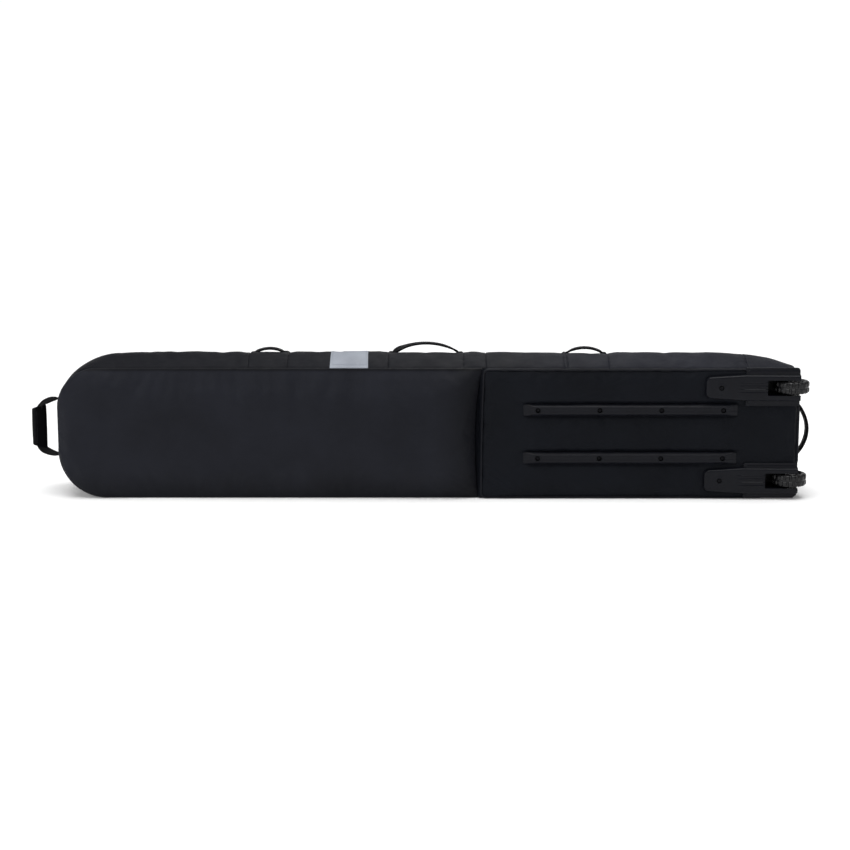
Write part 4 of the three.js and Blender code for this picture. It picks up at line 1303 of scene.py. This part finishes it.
def nose_band(root_x, grip_x):
    """The nose handle's flat webbing, which twists from its roots to the grip."""
    low_z, high_z = NOSE_ROOTS_Z
    outline = [(root_x, low_z), (-0.874, 0.0915), (-0.888, 0.0965), (-0.899, 0.103), (grip_x, 0.116),
               (grip_x, 0.197), (-0.899, 0.211), (-0.888, 0.2175), (-0.876, 0.222), (root_x, high_z)]
    route = smooth_route([(x, 0, z) for x, z in outline], 90)
    share = lengths(route) / lengths(route)[-1]
    turn = np.radians(mix(62, 8, clamp((0.34 - np.abs(share - 0.44)) / 0.14)))
    turn = np.where(share < 0.5, turn * 0.55, turn)
    along = np.gradient(route, axis=0)
    along /= np.linalg.norm(along, axis=1, keepdims=True)
    flat = np.cross(along, (0, 1, 0))
    ways = flat * np.cos(turn)[:, None] + np.array((0, 1, 0)) * np.sin(turn)[:, None]

    def width(t):
        open_share = float(rise(np.array(min(t, 1 - t)), 0.12))
        return strap_section(mix(0.010, 0.021, open_share), 0.0036)

    band = Shape().solid(sweep(route, width, ways))
    band = band.make("nose_handle_band", [GRIP_WEBBING], closed=True, sharp=60)
    finish_piece(band, None, "webbing", "nose_handle_webbing")


def signed_power(value, power):
    return np.sign(value) * np.abs(value) ** power


def nose_sleeve(low, high):
    """The nose handle's wrapped grip: a tucked sleeve with a seam and a row of stitches down its front."""
    grip_x, half_x, half_y = (low.x + high.x) / 2, (high.x - low.x) / 2, (high.y - low.y) / 2
    rings = []
    angle = 2 * np.pi * even(64)
    bottom, top = low.z, high.z
    for t in np.concatenate([[0, 0.006, 0.015, 0.03], np.linspace(0.05, 0.95, 40), [0.97, 0.985, 0.994, 1]]):
        tucked = float(dome(min(t, 1 - t) / 0.03))
        size = 0.80 + 0.20 * tucked + 0.035 * math.sin(math.pi * t)
        a = half_x * size * signed_power(np.cos(angle), 0.55) * 0.965
        b = half_y * size * signed_power(np.sin(angle), 0.7) * 0.95
        groove = 0.0014 * near(a + half_x * GRIP_SEAM, 0.0013) * (b < 0)
        tilt = mix(-1, 1, t) * 0.0045
        z = mix(bottom + 0.0045, top - 0.0045, t) + tilt * a / half_x
        wave = 0.0004 * wander(np.array(t * 0.09) + a * 0.4, 0.018, 91)
        rings.append(np.stack([grip_x + a, b * (1 - wave / half_y) + groove, z], 1))
    sleeve = Shape().solid(rings)
    seam_x = grip_x - half_x * GRIP_SEAM
    for k, face in enumerate(sleeve.faces):
        if len(face) == 4 and sleeve.points[0][face][:, X].mean() < seam_x:
            sleeve.slots[k] = 1
    zs = np.linspace(bottom + 0.012, top - 0.012, 40)
    row = np.stack([0 * zs + seam_x + 0.0030, 0 * zs - half_y * 0.985, zs], 1)
    stitch(sleeve, row, (0, -1, 0), slot=2)
    grip = sleeve.make("nose_handle_sleeve", [GRIP, WEBBING, THREAD_DARK], closed=True, sharp=70)
    finish_piece(grip, None, "grip_fabric", "nose_handle_grip")


def make_nose_handle():
    """A flat webbing loop with a wrapped grip, and the tabs that it is sewn in with."""
    root_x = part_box("nose_handle_webbing")[1].x
    low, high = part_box("nose_handle_grip")
    nose_band(root_x, (low.x + high.x) / 2)
    nose_sleeve(low, high)
    sewn_tabs("nose_handle_tabs", root_x, section(0.0).nose, NOSE_ROOTS_Z, (0.012, 0.0042))


def sewn_tabs(name, root_x, wall_x, heights, size):
    """Short webbing stubs from the wall to a loop's roots, each through a collar on the wall."""
    shape = Shape()
    way = math.copysign(1, root_x - wall_x)
    collar_x = wall_x + way * 0.0006
    levels = [(collar_x - way * 0.0016, 0), (collar_x, 0), (collar_x + way * 0.0006, 0.0007)]
    for z in heights:
        xs = np.linspace(mix(root_x, wall_x, 1.35), mix(root_x, wall_x, -0.25), 8)
        route = np.stack([xs, 0 * xs, 0 * xs + z], 1)
        shape.solid(sweep(route, lambda t: strap_section(*size)))
        rounded_plate(shape, rectangle(-0.011, 0.011, z - 0.009, z + 0.009, 0.002), levels, X)
    finish_piece(shape.make(name, [WEBBING], closed=True, sharp=60), "root", "webbing")


def make_tail_handle():
    low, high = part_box("tail_handle")
    ts = np.linspace(0, 1, 80)
    root_x, peak_x = TAIL_X + TAIL_CROWN + 0.006, high.x - WEB_THICK / 2 - 0.0003
    arch = np.sin(np.pi * ts) ** 0.75
    route = np.stack([mix(root_x, peak_x, arch), 0 * ts, mix(*TAIL_ROOTS_Z, ts)], 1)
    turn = np.radians(14) * (near(ts, 0.12) - near(1 - ts, 0.12))
    ways = np.stack([np.sin(turn), np.cos(turn), 0 * ts], 1)
    shape = Shape().solid(sweep(route, gathered(WEB_WIDTH, 0.0064), ways))
    piece = shape.make("tail_handle_loop", [WEBBING], closed=True, sharp=60)
    finish_piece(piece, None, "webbing", "tail_handle")
    sewn_tabs("tail_handle_tabs", root_x, section(0.0).tail, TAIL_ROOTS_Z, (0.010, 0.0046))


# ---- Label ----
def make_label(top_height):
    """Cloth over the upper wall, its front edge tucked down into the seam, sewn down all round."""
    low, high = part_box("label_patch")
    front_y = FRONT_Y + 0.0035
    tucked = [(-0.0779, -0.0046), (-0.0776, -0.0020), (-0.0768, -0.0004)]
    share = np.linspace(0, 1, 40)
    rows = []
    for y, lift in tucked + [(y, 0.0011) for y in np.linspace(-0.0755, high.y, 46)]:
        flare = 0.0012 * float(clamp(-y / 0.08))
        xs = mix(low.x - flare, high.x + flare, share)
        zs = np.array([top_height(x, max(y, front_y)) for x in xs]) + lift
        rows.append(np.stack([xs, 0 * xs + y, zs], 1))
    points = np.array(rows)
    patch = thicken(Shape().grid(points, (0, -0.3, 1)).make("label_cloth_patch", [LABEL]), 0.0009)
    finish_piece(patch, "root", "label_cloth", "label_patch")
    border = Shape()
    lifted = points + np.array((0, 0, 0.0001))
    for edge in (lifted[6:-3, 2], lifted[6:-3, -3], lifted[6, 2:-2], lifted[-4, 2:-2]):
        stitch(border, edge, (0, 0, 1), length=0.0028, gap=0.0012, radius=0.0003)
    finish_piece(border.make("label_stitching", [THREAD_PALE], closed=True), "root", "label_cloth")


# ---- Zip and lid ----
def lid_run(y, at, inset=0.0):
    """Round the nose, the upper side and the tail, above the lid's lower edge."""
    s = section(y, inset)
    rn, rt = s.nose_radius, s.tail_radius
    radii = (NOSE_RADIUS[1], TAIL_RADIUS[1])
    nose_turn, tail_turn = (math.degrees(math.acos((r - LID_LOW_Z) / r)) for r in radii)
    return joined(
        arc((s.nose + rn, s.low + rn), rn, 270 - nose_turn, 180, at.corner),
        line((s.nose, s.low + rn), (s.nose, s.high - rn), LEFT, at.side),
        arc((s.nose + rn, s.high - rn), rn, 180, 90, at.corner),
        line((s.nose + rn, s.high), (s.tail - rt, s.high), UP, at.top),
        arc((s.tail - rt, s.high - rt), rt, 90, 0, at.corner),
        line((s.tail, s.high - rt), (s.tail, s.low + rt), RIGHT, at.side),
        arc((s.tail - rt, s.low + rt), rt, 0, tail_turn - 90, np.append(at.corner, 1.0)),
    )


ROUND = SimpleNamespace(corner=even(36), side=even(20), top=even(330))


def strip(name, ys, inset, material, thickness, slot_name, node, detail=None):
    """A band of cloth that follows the lid's run."""
    points, ways = surface(lambda y: lid_run(y, ROUND, inset), ys)
    if detail is not None:
        points = points + ways * detail(points)[..., None]
    piece = thicken(Shape().grid(points, ways).make(name, [material, LINING]), thickness, 1)
    return finish_piece(piece, None, slot_name, node)


TOOTH_PITCH = 0.00225


def teeth(name, low_y, high_y, phase):
    """Coil teeth of one side of the zip."""
    places, ways = lid_run(0.0745, ROUND, 0.0010)
    s = lengths(places)
    spots = np.arange(0.004 + phase * TOOTH_PITCH, s[-1] - 0.004, TOOTH_PITCH)
    x, z, a, b = (np.interp(spots, s, column) for column in (*places.T, *ways.T))
    centre = np.stack([x, 0 * x, z], 1)
    out = np.stack([a, 0 * a, b], 1)
    along = np.cross(out, (0, 1, 0))
    shape = Shape()
    outline = [(-0.00052, -0.0009), (-0.00062, 0.0001), (-0.00030, 0.0007)]
    outline += [(-p, q) for p, q in outline[::-1]]
    faces = [[0, 1, 2, 3, 4, 5], [11, 10, 9, 8, 7, 6]]
    faces += [[i, i + 6, (i + 1) % 6 + 6, (i + 1) % 6] for i in range(6)]
    uvs = [(0.0, 0.0)] * sum(len(face) for face in faces)
    for c, o, t in zip(centre, out, along):
        ends = [c + t * p + o * q + np.array((0, y, 0)) for y in (low_y, high_y) for p, q in outline]
        shape.add(ends, faces, uvs)
    return shape.make(name, [COIL], closed=True)


def make_zip():
    for part, coil_y, phase in (("body", (0.0722, 0.0752), 0.0), ("lid", (0.0738, 0.0768), 0.5)):
        node = f"zip_tape_{part}"
        low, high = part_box(node)
        ys = np.linspace(low.y, high.y, 6)
        strip(f"zip_tape_cloth_{part}", ys, 0.0020, ZIP_TAPE, 0.0012, "zip_tape", node)
        finish_piece(teeth(f"zip_coil_{part}", *coil_y, phase), BODY_OF[node], "zip_tape")
    for place in PLACES:
        make_slider(place)
        make_pull(place)


def make_slider(place):
    """Cast slider with a bridge that its pull hangs from, its wide end towards the middle."""
    low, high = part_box(f"zip_slider_{place}")
    x, facing = (low.x + high.x) / 2, 1 if place == "nose" else -1
    turned_to_nose = [(-0.0053, 0.0712), (-0.0030, 0.0692), (0.0054, 0.0700), (0.0054, 0.0790),
                      (-0.0030, 0.0798), (-0.0053, 0.0778)]
    outline = [(x + gone * facing, y) for gone, y in turned_to_nose]
    shape = Shape()
    levels = [(low.z, 0.0004), (low.z + 0.0004, 0), (low.z + 0.0021, 0), (low.z + 0.0027, 0.0004),
              (low.z + 0.0030, 0.0012)]
    rounded_plate(shape, filleted(outline, 0.0014, 5), levels, Z)
    bridge = [(0.0706, 0.3122), (0.0706, 0.3158), (0.0722, 0.3170), (0.0768, 0.3170), (0.0784, 0.3150),
              (0.0786, 0.3122)]
    bar = rectangle(-0.0013, 0.0013, -0.0005, 0.0005, 0.0004, 3)
    shape.solid(sweep(smooth_route([(x, y, z) for y, z in bridge], 40), lambda t: bar, (1, 0, 0)))
    piece = shape.make(f"zip_slider_cast_{place}", [ZIP_METAL], closed=True, sharp=40)
    finish_piece(piece, None, "zip_metal", f"zip_slider_{place}")


def make_pull(place):
    """Wire loop, webbing tab and moulded end of a zip pull."""
    x = middle_of(f"zip_slider_{place}").x
    low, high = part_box(f"zip_pull_{place}")
    z = (low.z + high.z) / 2
    pull = Shape()
    corners = [(-0.0036, 0.0762), (0.0036, 0.0762), (0.0042, 0.0885), (-0.0042, 0.0885)]
    loop = filleted([(x + gone, y) for gone, y in corners], 0.0016, 6)
    route = np.stack([loop[:, 0], loop[:, 1], 0 * loop[:, 0] + z], 1)
    pull.grid(sweep(route, lambda t: round_section(0.00085, 10), (0, 0, 1), wrap=True), wrap=(True, True))
    droop = [(0.0868, 0), (0.0900, 0.0006), (0.0960, 0.0030), (0.1015, 0.0046), (high.y - 0.0004, 0.0048)]
    tab = smooth_route([(x, y, z + lift) for y, lift in droop], 30)
    tab_section = lambda t: strap_section(0.0082, mix(0.0030, 0.0020, float(clamp(t * 4))))
    pull.solid(sweep(tab, tab_section, (1, 0, 0)), slot=1)
    levels = [(z + 0.0030, 0.0005), (z + 0.0035, 0), (z + 0.0060, 0), (z + 0.0066, 0.0006)]
    end = rounded_plate(Shape(), rectangle(x - 0.0048, x + 0.0048, 0.1005, high.y, 0.0018), levels, Z)
    pull.add(np.concatenate(end.points), end.faces, end.uvs, 2)
    piece = pull.make(f"zip_pull_tab_{place}", [ZIP_METAL, WEBBING, BUCKLE], closed=True, sharp=50)
    finish_piece(piece, None, "zip_pull", f"zip_pull_{place}")


LID_CORD_Y = 0.0976
LID_EDGE_Y = 0.0982  # where the lid's cover rises from its seam


def lid_grid(columns, ts):
    """The lid's outline filled from its lower to its upper edge."""
    s = section(BACK_Y)
    rn, rt = s.nose_radius, s.tail_radius
    nose_arc, tail_arc = rn * np.pi / 2, rt * np.pi / 2
    middle = s.tail - rt - s.nose - rn
    a = clamp(columns / rn, 0, np.pi / 2)
    b = clamp((columns - nose_arc - middle) / rt, 0, np.pi / 2)
    x = s.nose + rn * (1 - np.cos(a)) + clamp(columns - nose_arc, 0, middle) + rt * np.sin(b)
    drop = np.where(columns < nose_arc + middle / 2, rn * (1 - np.sin(a)), rt * (1 - np.cos(b)))
    low, high = np.maximum(drop, LID_LOW_Z), SEAM_Z - drop
    z = mix(low[None, :], high[None, :], ts[:, None])
    x = x[None, :] * np.ones_like(z)
    edge = edge_distance(x, z, (s.nose, 0), (s.tail, SEAM_Z), (rn + rt) / 2)
    edge = np.maximum(np.minimum(edge, z - LID_LOW_Z), 0)
    y = LID_EDGE_Y + 0.0100 * rise(edge, 0.011) + 0.0026 * rise(edge, 0.06)
    return np.stack([x, y, z], -1), edge


def make_lid():
    s = section(BACK_Y)
    total = (s.nose_radius + s.tail_radius) * (np.pi / 2 - 1) + s.tail - s.nose
    fine, ts = clustered(total, 0.0062, [0, total]), clustered(SEAM_Z, 0.0062, [0, SEAM_Z]) / SEAM_Z
    points, edge = lid_grid(fine, ts)
    coarse, ts_coarse = np.linspace(0, total, 176), np.linspace(0, 1, 32)
    rough, rough_edge = lid_grid(coarse, ts_coarse)
    held = rough_edge < 0.006
    held[[0, -1]] = True
    held[:, [0, -1]] = True
    moved = settle(rough, (0, 1, 0), held, 2.6, 0.012, 0.0065)
    points = points + resample(moved, ts_coarse, coarse, ts, fine)
    x, z = points[..., 0], points[..., 2]
    push = 0.0009 * rise(edge, 0.05) * ripple(x, z * 1.5, 0.22, 51)
    push = push + 0.0004 * rise(edge, 0.03) * ripple(x, z, 0.08, 52)
    push = push + 0.0005 * near(edge, 0.012) * rise(edge, 0.004) * wander(x + z, 0.017, 53)
    points[..., 1] += push
    cover = thicken(Shape().grid(points, (0, 1, 0)).make("lid_cover", [SHELL]), 0.0012)
    finish_piece(cover, "lid", "shell_fabric", "lid_panel")


def along_run(y, lift=0.0):
    """The lid's run at a depth, as points in space and ways out of it."""
    places, ways = (np.insert(pairs, Y, level, 1) for pairs, level in zip(lid_run(y, ROUND), (y, 0)))
    return places + ways * lift, ways


def make_lid_band():
    """The padded wall of the lid, the cord round its edge and its two rows of stitches."""
    low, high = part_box("lid_band")
    depth = high.y - low.y
    ys = low.y + clustered(depth, 0.0018, [0, depth], (0.0006, 0.0014))

    def swell(points):
        across = (points[..., 1] - low.y) / depth
        uneven = 0.0002 * wander(lengths(points[0])[None, :], 0.03, 57)
        return 0.0009 * np.sin(np.pi * across) ** 0.6 - 0.0008 + uneven

    band = strip("lid_band_cloth", ys, 0.0, WALL, GUSSET_WALL, "shell_fabric", "lid_band", detail=swell)
    places, _ = lid_run(LID_CORD_Y, ROUND, 0.0012)
    route = np.insert(places, Y, LID_CORD_Y, 1)
    cord = Shape().solid(tube(route, PIPING_RADIUS)).make("lid_edge_cord", [PIPING], closed=True)
    finish_piece(cord, "lid", "piping")
    rows = Shape()
    for y in (low.y + 0.0022, high.y - 0.0030):
        stitch(rows, *along_run(y, 0.0001), length=0.0036, gap=0.0016)
    finish_piece(rows.make("lid_band_stitching", [THREAD_DARK], closed=True), "lid", "shell_fabric")


def corner_height(xs):
    """Height of the outline's lower side at the back, which rises round both ends."""
    ends = [(NOSE_RADIUS[1], xs - NOSE_X), (TAIL_RADIUS[1], TAIL_X - xs)]
    return np.max([r - np.sqrt(r**2 - clamp(r - gone, 0, r) ** 2) for r, gone in ends], axis=0)


HINGE_NOSE_GAP, HINGE_TAIL_GAP = 0.0655, 0.0525  # from the ends of the bag to the hinge's ends


def make_hinge():
    """Cloth that joins the body's lower edge to the lid's."""
    xs = np.linspace(NOSE_X + HINGE_NOSE_GAP, TAIL_X - HINGE_TAIL_GAP, 320)
    around = corner_height(xs) + 0.0006
    profile = smooth_route([(0, 0.0635, 0.0010), (0, 0.075, 0.0009), (0, 0.087, 0.0012), (0, 0.0965, 0.0034),
                            (0, 0.1035, 0.0082), (0, 0.1075, 0.0146)], 26)
    rows = []
    for _, y, z in profile:
        sag = 0.0005 * wander(xs, 0.09, 71) * math.sin(math.pi * clamp((y - 0.0635) / 0.044))
        zs = np.maximum(np.maximum(z + sag, 0.0004), around)
        rows.append(np.stack([xs, y + 0 * xs, zs], 1))
    shape = Shape().grid(np.array(rows), (0, 0.7, -1))
    piece = baked(thicken(shape.make("lid_hinge_cloth", [WALL, LINING]), 0.0015, 1))
    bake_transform(piece)


# ---- Inside: linings, board and straps ----
QUILT = 0.052
BASE_LINING_Y, LID_LINING_Y = -0.0712, 0.0965
LINING_INSET = 0.0055  # just inside the padded walls


def quilted(x, z):
    """Diamond quilting: pillows between crossing rows of stitches."""
    a, b = np.abs(np.sin(np.pi * (x + z) / QUILT)), np.abs(np.sin(np.pi * (x - z) / QUILT))
    return (a * b) ** 0.5


def lining_panel(name, y, outward, height, node, body):
    """Quilted lining across the bag at a depth, held taut over what it rests on."""
    s = section(y, LINING_INSET)
    nose, tail, wells = s.nose, s.tail, body == "root"
    xs, ts = np.linspace(nose, tail, 420), np.linspace(0, 1, 84)
    ends = [(s.nose_radius, xs - nose), (s.tail_radius, tail - xs)]
    drop = np.max([r - np.sqrt(np.maximum(r**2 - clamp(r - gone, 0) ** 2, 0)) for r, gone in ends], axis=0)
    floor = LID_LOW_Z + 0.001 if body == "lid" else s.low
    low, high = np.maximum(s.low + drop, floor), s.high - drop
    z = mix(low[None, :], high[None, :], ts[:, None])
    x = xs[None, :] * np.ones_like(z)
    edge = np.minimum(z - low, high - z)
    lift = height * quilted(x, z) * rise(edge, 0.008)
    points = np.stack([x, y + outward * lift, z], -1)
    piece = Shape().grid(points, (0, outward, 0)).make(name, [LINING])
    if wells:
        cut_wells(piece)
    thicken(piece, 0.0007)
    flat_area = float(((high - low)[1:] * np.diff(xs)).sum())
    if wells:
        flat_area -= 2 * (tail - WELL_X) * 2 * WELL_HALF
    finish_piece(piece, body, "lining", node)


def strap_web(end, place):
    """Webbing laid up or down the compartment, box-stitched near its end."""
    node = f"strap_webbing_{end}_{place}"
    low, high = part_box(node)
    y, x = (low.y + high.y) / 2, (low.x + high.x) / 2
    z0, z1 = low.z + 0.0003, high.z - 0.0003
    route = np.array([(x, y, z) for z in np.linspace(z0, z1, 60)])
    shape = Shape().solid(sweep(route, lambda t: strap_section(high.x - low.x, 0.00135), (1, 0, 0)))
    sewn = z0 + 0.012 if end == "low" else z1 - 0.012
    half, tall = (high.x - low.x) / 2 - 0.004, 0.009
    box = [(-half, -tall), (half, -tall), (half, tall), (-half, tall), (-half, -tall)]
    cross = [(half, tall), (-half, tall), (half, -tall)]
    path = [(x + a, y + 0.0007, sewn + b) for a, b in box + cross]
    for start, stop in zip(path, path[1:]):
        stitch(shape, np.linspace(start, stop, 12), (0, 1, 0), slot=1)
    piece = shape.make(f"strap_{end}_{place}", [WEBBING, THREAD_PALE], closed=True, sharp=60)
    return finish_piece(piece, None, "webbing", node)


STRAP_XS = {"nose": -0.350, "tail": 0.400}


def make_straps():
    for place in PLACES:
        strap_web("low", place)
        upper = strap_web("high", place)
        x = STRAP_XS[place]
        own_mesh(upper)
        make_buckle(place, x)


THROUGH_Y = (-0.08, -0.05)  # past both faces of a buckle


def pocket(x, half, z0, z1, radius, depths):
    """Cutter with rounded corners between two depths."""
    outline = rectangle(x - half, x + half, z0, z1, radius)
    return rounded_plate(Shape(), outline, [(y, 0) for y in depths], Y).cutter()


def make_buckle(place, x):
    """Side-release buckle: a hollow socket with side windows, and a tongue with two prongs."""
    low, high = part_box(f"strap_buckle_socket_{place}")
    rounding = [(low.y, 0.0008), (low.y + 0.0006, 0), (high.y - 0.0014, 0), (high.y - 0.0004, 0.0006),
                (high.y, 0.0018)]
    shape = rounded_plate(Shape(), rectangle(low.x, high.x, low.z, high.z, 0.004), rounding, Y)
    socket = shape.make(f"buckle_socket_{place}", [BUCKLE], closed=True)
    mouth = pocket(x, 0.0183, 0.136, 0.18, 0.002, (-0.0674, -0.0618))
    window = pocket(x, 0.03, 0.142, 0.158, 0.003, (-0.0666, -0.0624))
    carve(socket, [mouth, window, pocket(x, 0.014, 0.1315, 0.1345, 0.001, THROUGH_Y)])
    finish_piece(socket, None, "buckle_plastic", f"strap_buckle_socket_{place}")
    low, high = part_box(f"strap_buckle_tongue_{place}")
    thin = [(-0.0670, 0), (-0.0667, 0), (-0.0625, 0), (-0.0622, 0.0003)]
    thick = [(low.y, 0.0008), (low.y + 0.0006, 0), (high.y - 0.0012, 0), (high.y, 0.0014)]
    shape = rounded_plate(Shape(), rectangle(low.x, high.x, 0.1704, high.z, 0.004), thick, Y)
    prong = [(0.0100, 0.172), (0.0175, 0.172), (0.0178, 0.152), (0.0150, 0.140), (0.0128, 0.140)]
    for side in (-1, 1):
        rounded_plate(shape, filleted([(x + side * gone, z) for gone, z in prong], 0.0012, 4), thin, Y)
    rounded_plate(shape, rectangle(x - 0.0022, x + 0.0022, 0.146, 0.172, 0.001), thin, Y)
    tongue = shape.make(f"buckle_tongue_{place}", [BUCKLE], closed=True)
    carve(tongue, [pocket(x, 0.019, 0.1815, 0.1845, 0.001, THROUGH_Y)])
    finish_piece(tongue, None, "buckle_plastic", f"strap_buckle_tongue_{place}")


def dress_board():
    board = frame["nodes"]["stiffener_board"]
    board.data.materials.clear()
    board.data.materials.append(BOARD)
    edge = board.modifiers.new("edge", "BEVEL")
    edge.width = 0.0004
    edge.segments = 2


# ---- Studio ----
FLOOR_GLOW = 0.12
SKY = 0.20
SUN = 2.9
FRONT = 30.0
RIM = 8.0


def area_light(name, place, target, size, power):
    lamp = bpy.data.lights.new(name, "AREA")
    lamp.shape = "RECTANGLE"
    lamp.size, lamp.size_y = size
    lamp.energy = power
    light = bpy.data.objects.new(name, lamp)
    light.location = place
    light.rotation_euler = (Vector(target) - Vector(place)).to_track_quat("-Z", "Y").to_euler()
    bpy.context.scene.collection.objects.link(light)


def make_studio():
    size, below = 60, -0.0004
    floor = Shape().grid(np.array([[(x, y, below) for x in (-size, size)] for y in (-size, size)]), (0, 0, 1))
    paint = Finish("floor_paint", 0.9, 0.0)
    paint.colour((0.86, 0.86, 0.86), (0.88, 0.88, 0.88), paint.noise(2))
    paint.shader.inputs["Emission Color"].default_value = (1, 1, 1, 1)
    paint.shader.inputs["Emission Strength"].default_value = FLOOR_GLOW
    floor.make("studio_floor", [paint.made])
    world = bpy.data.worlds.new("studio")
    world.use_nodes = True
    tree = world.node_tree
    backdrop = tree.nodes["Background"]
    height = tree.nodes.new("ShaderNodeSeparateXYZ")
    fade = tree.nodes.new("ShaderNodeMapRange")
    tree.links.new(tree.nodes.new("ShaderNodeTexCoord").outputs["Generated"], height.inputs[0])
    tree.links.new(height.outputs["Z"], fade.inputs["Value"])
    for socket, value in zip(("From Min", "From Max", "To Min", "To Max"), (0.05, 0.35, 1.02, SKY)):
        fade.inputs[socket].default_value = value
    tree.links.new(fade.outputs["Result"], backdrop.inputs["Strength"])
    backdrop.inputs["Color"].default_value = (1, 1, 1, 1)
    bpy.context.scene.world = world
    lamp = bpy.data.lights.new("overhead", "SUN")
    lamp.energy = SUN
    lamp.angle = math.radians(55)
    overhead = bpy.data.objects.new("overhead", lamp)
    overhead.rotation_euler = Vector((-0.02, -0.16, 1.0)).to_track_quat("Z", "Y").to_euler()
    bpy.context.scene.collection.objects.link(overhead)
    area_light("front", (-2.7, -2.3, 1.9), (-0.1, 0, 0.15), (1.5, 0.9), FRONT)
    area_light("rim", (0.35, 0.9, 1.5), (0.35, 0, 0.3), (1.2, 0.5), RIM)


CAMERA_ELEVATION = 10.5
CAMERA_DISTANCE = 4.7
CAMERA_LENS = 83.6
CAMERA_TARGET = (0.0119, 0.0, 0.1597)


def make_camera():
    target = Vector(CAMERA_TARGET)
    tilt = math.radians(CAMERA_ELEVATION)
    lens = bpy.data.cameras.new("camera")
    lens.lens = CAMERA_LENS
    lens.sensor_width = 36
    camera = bpy.data.objects.new("camera", lens)
    camera.location = target + Vector((0, -math.cos(tilt), math.sin(tilt))) * CAMERA_DISTANCE
    camera.rotation_euler = (math.pi / 2 - tilt, 0, 0)
    bpy.context.scene.collection.objects.link(camera)
    bpy.context.scene.camera = camera


def top_surface(points, ys):
    """Height of the finished upper wall at a place."""
    upper = points[:, points[points.shape[0] // 2, :, 2] > SEAM_Z - 0.006]
    upper = upper[:, np.diff(upper[len(upper) // 2, :, 0], prepend=9) < 0]

    def height(x, y):
        row = [np.interp(-x, -line_at[:, 0], line_at[:, 2]) for line_at in upper]
        return float(np.interp(y, ys, row))
    return height


bpy.context.scene.view_settings.view_transform = "Standard"
make_camera()
make_studio()
top_height = top_surface(*make_gusset())
make_tail_gusset()
make_nose_panel()
make_tail_panel()
make_fold_gore()
make_piping()
make_rails()
make_rivets()
make_housings()
make_wheels()
make_haul_handles(top_height)
make_nose_handle()
make_tail_handle()
make_label(top_height)
make_zip()
make_lid()
make_lid_band()
make_hinge()
lining_panel("base_lining", BASE_LINING_Y, 1, 0.0009, "base_liner", "root")
lining_panel("lid_lining", LID_LINING_Y, -1, 0.0013, "lid_liner", "lid")
make_straps()
dress_board()
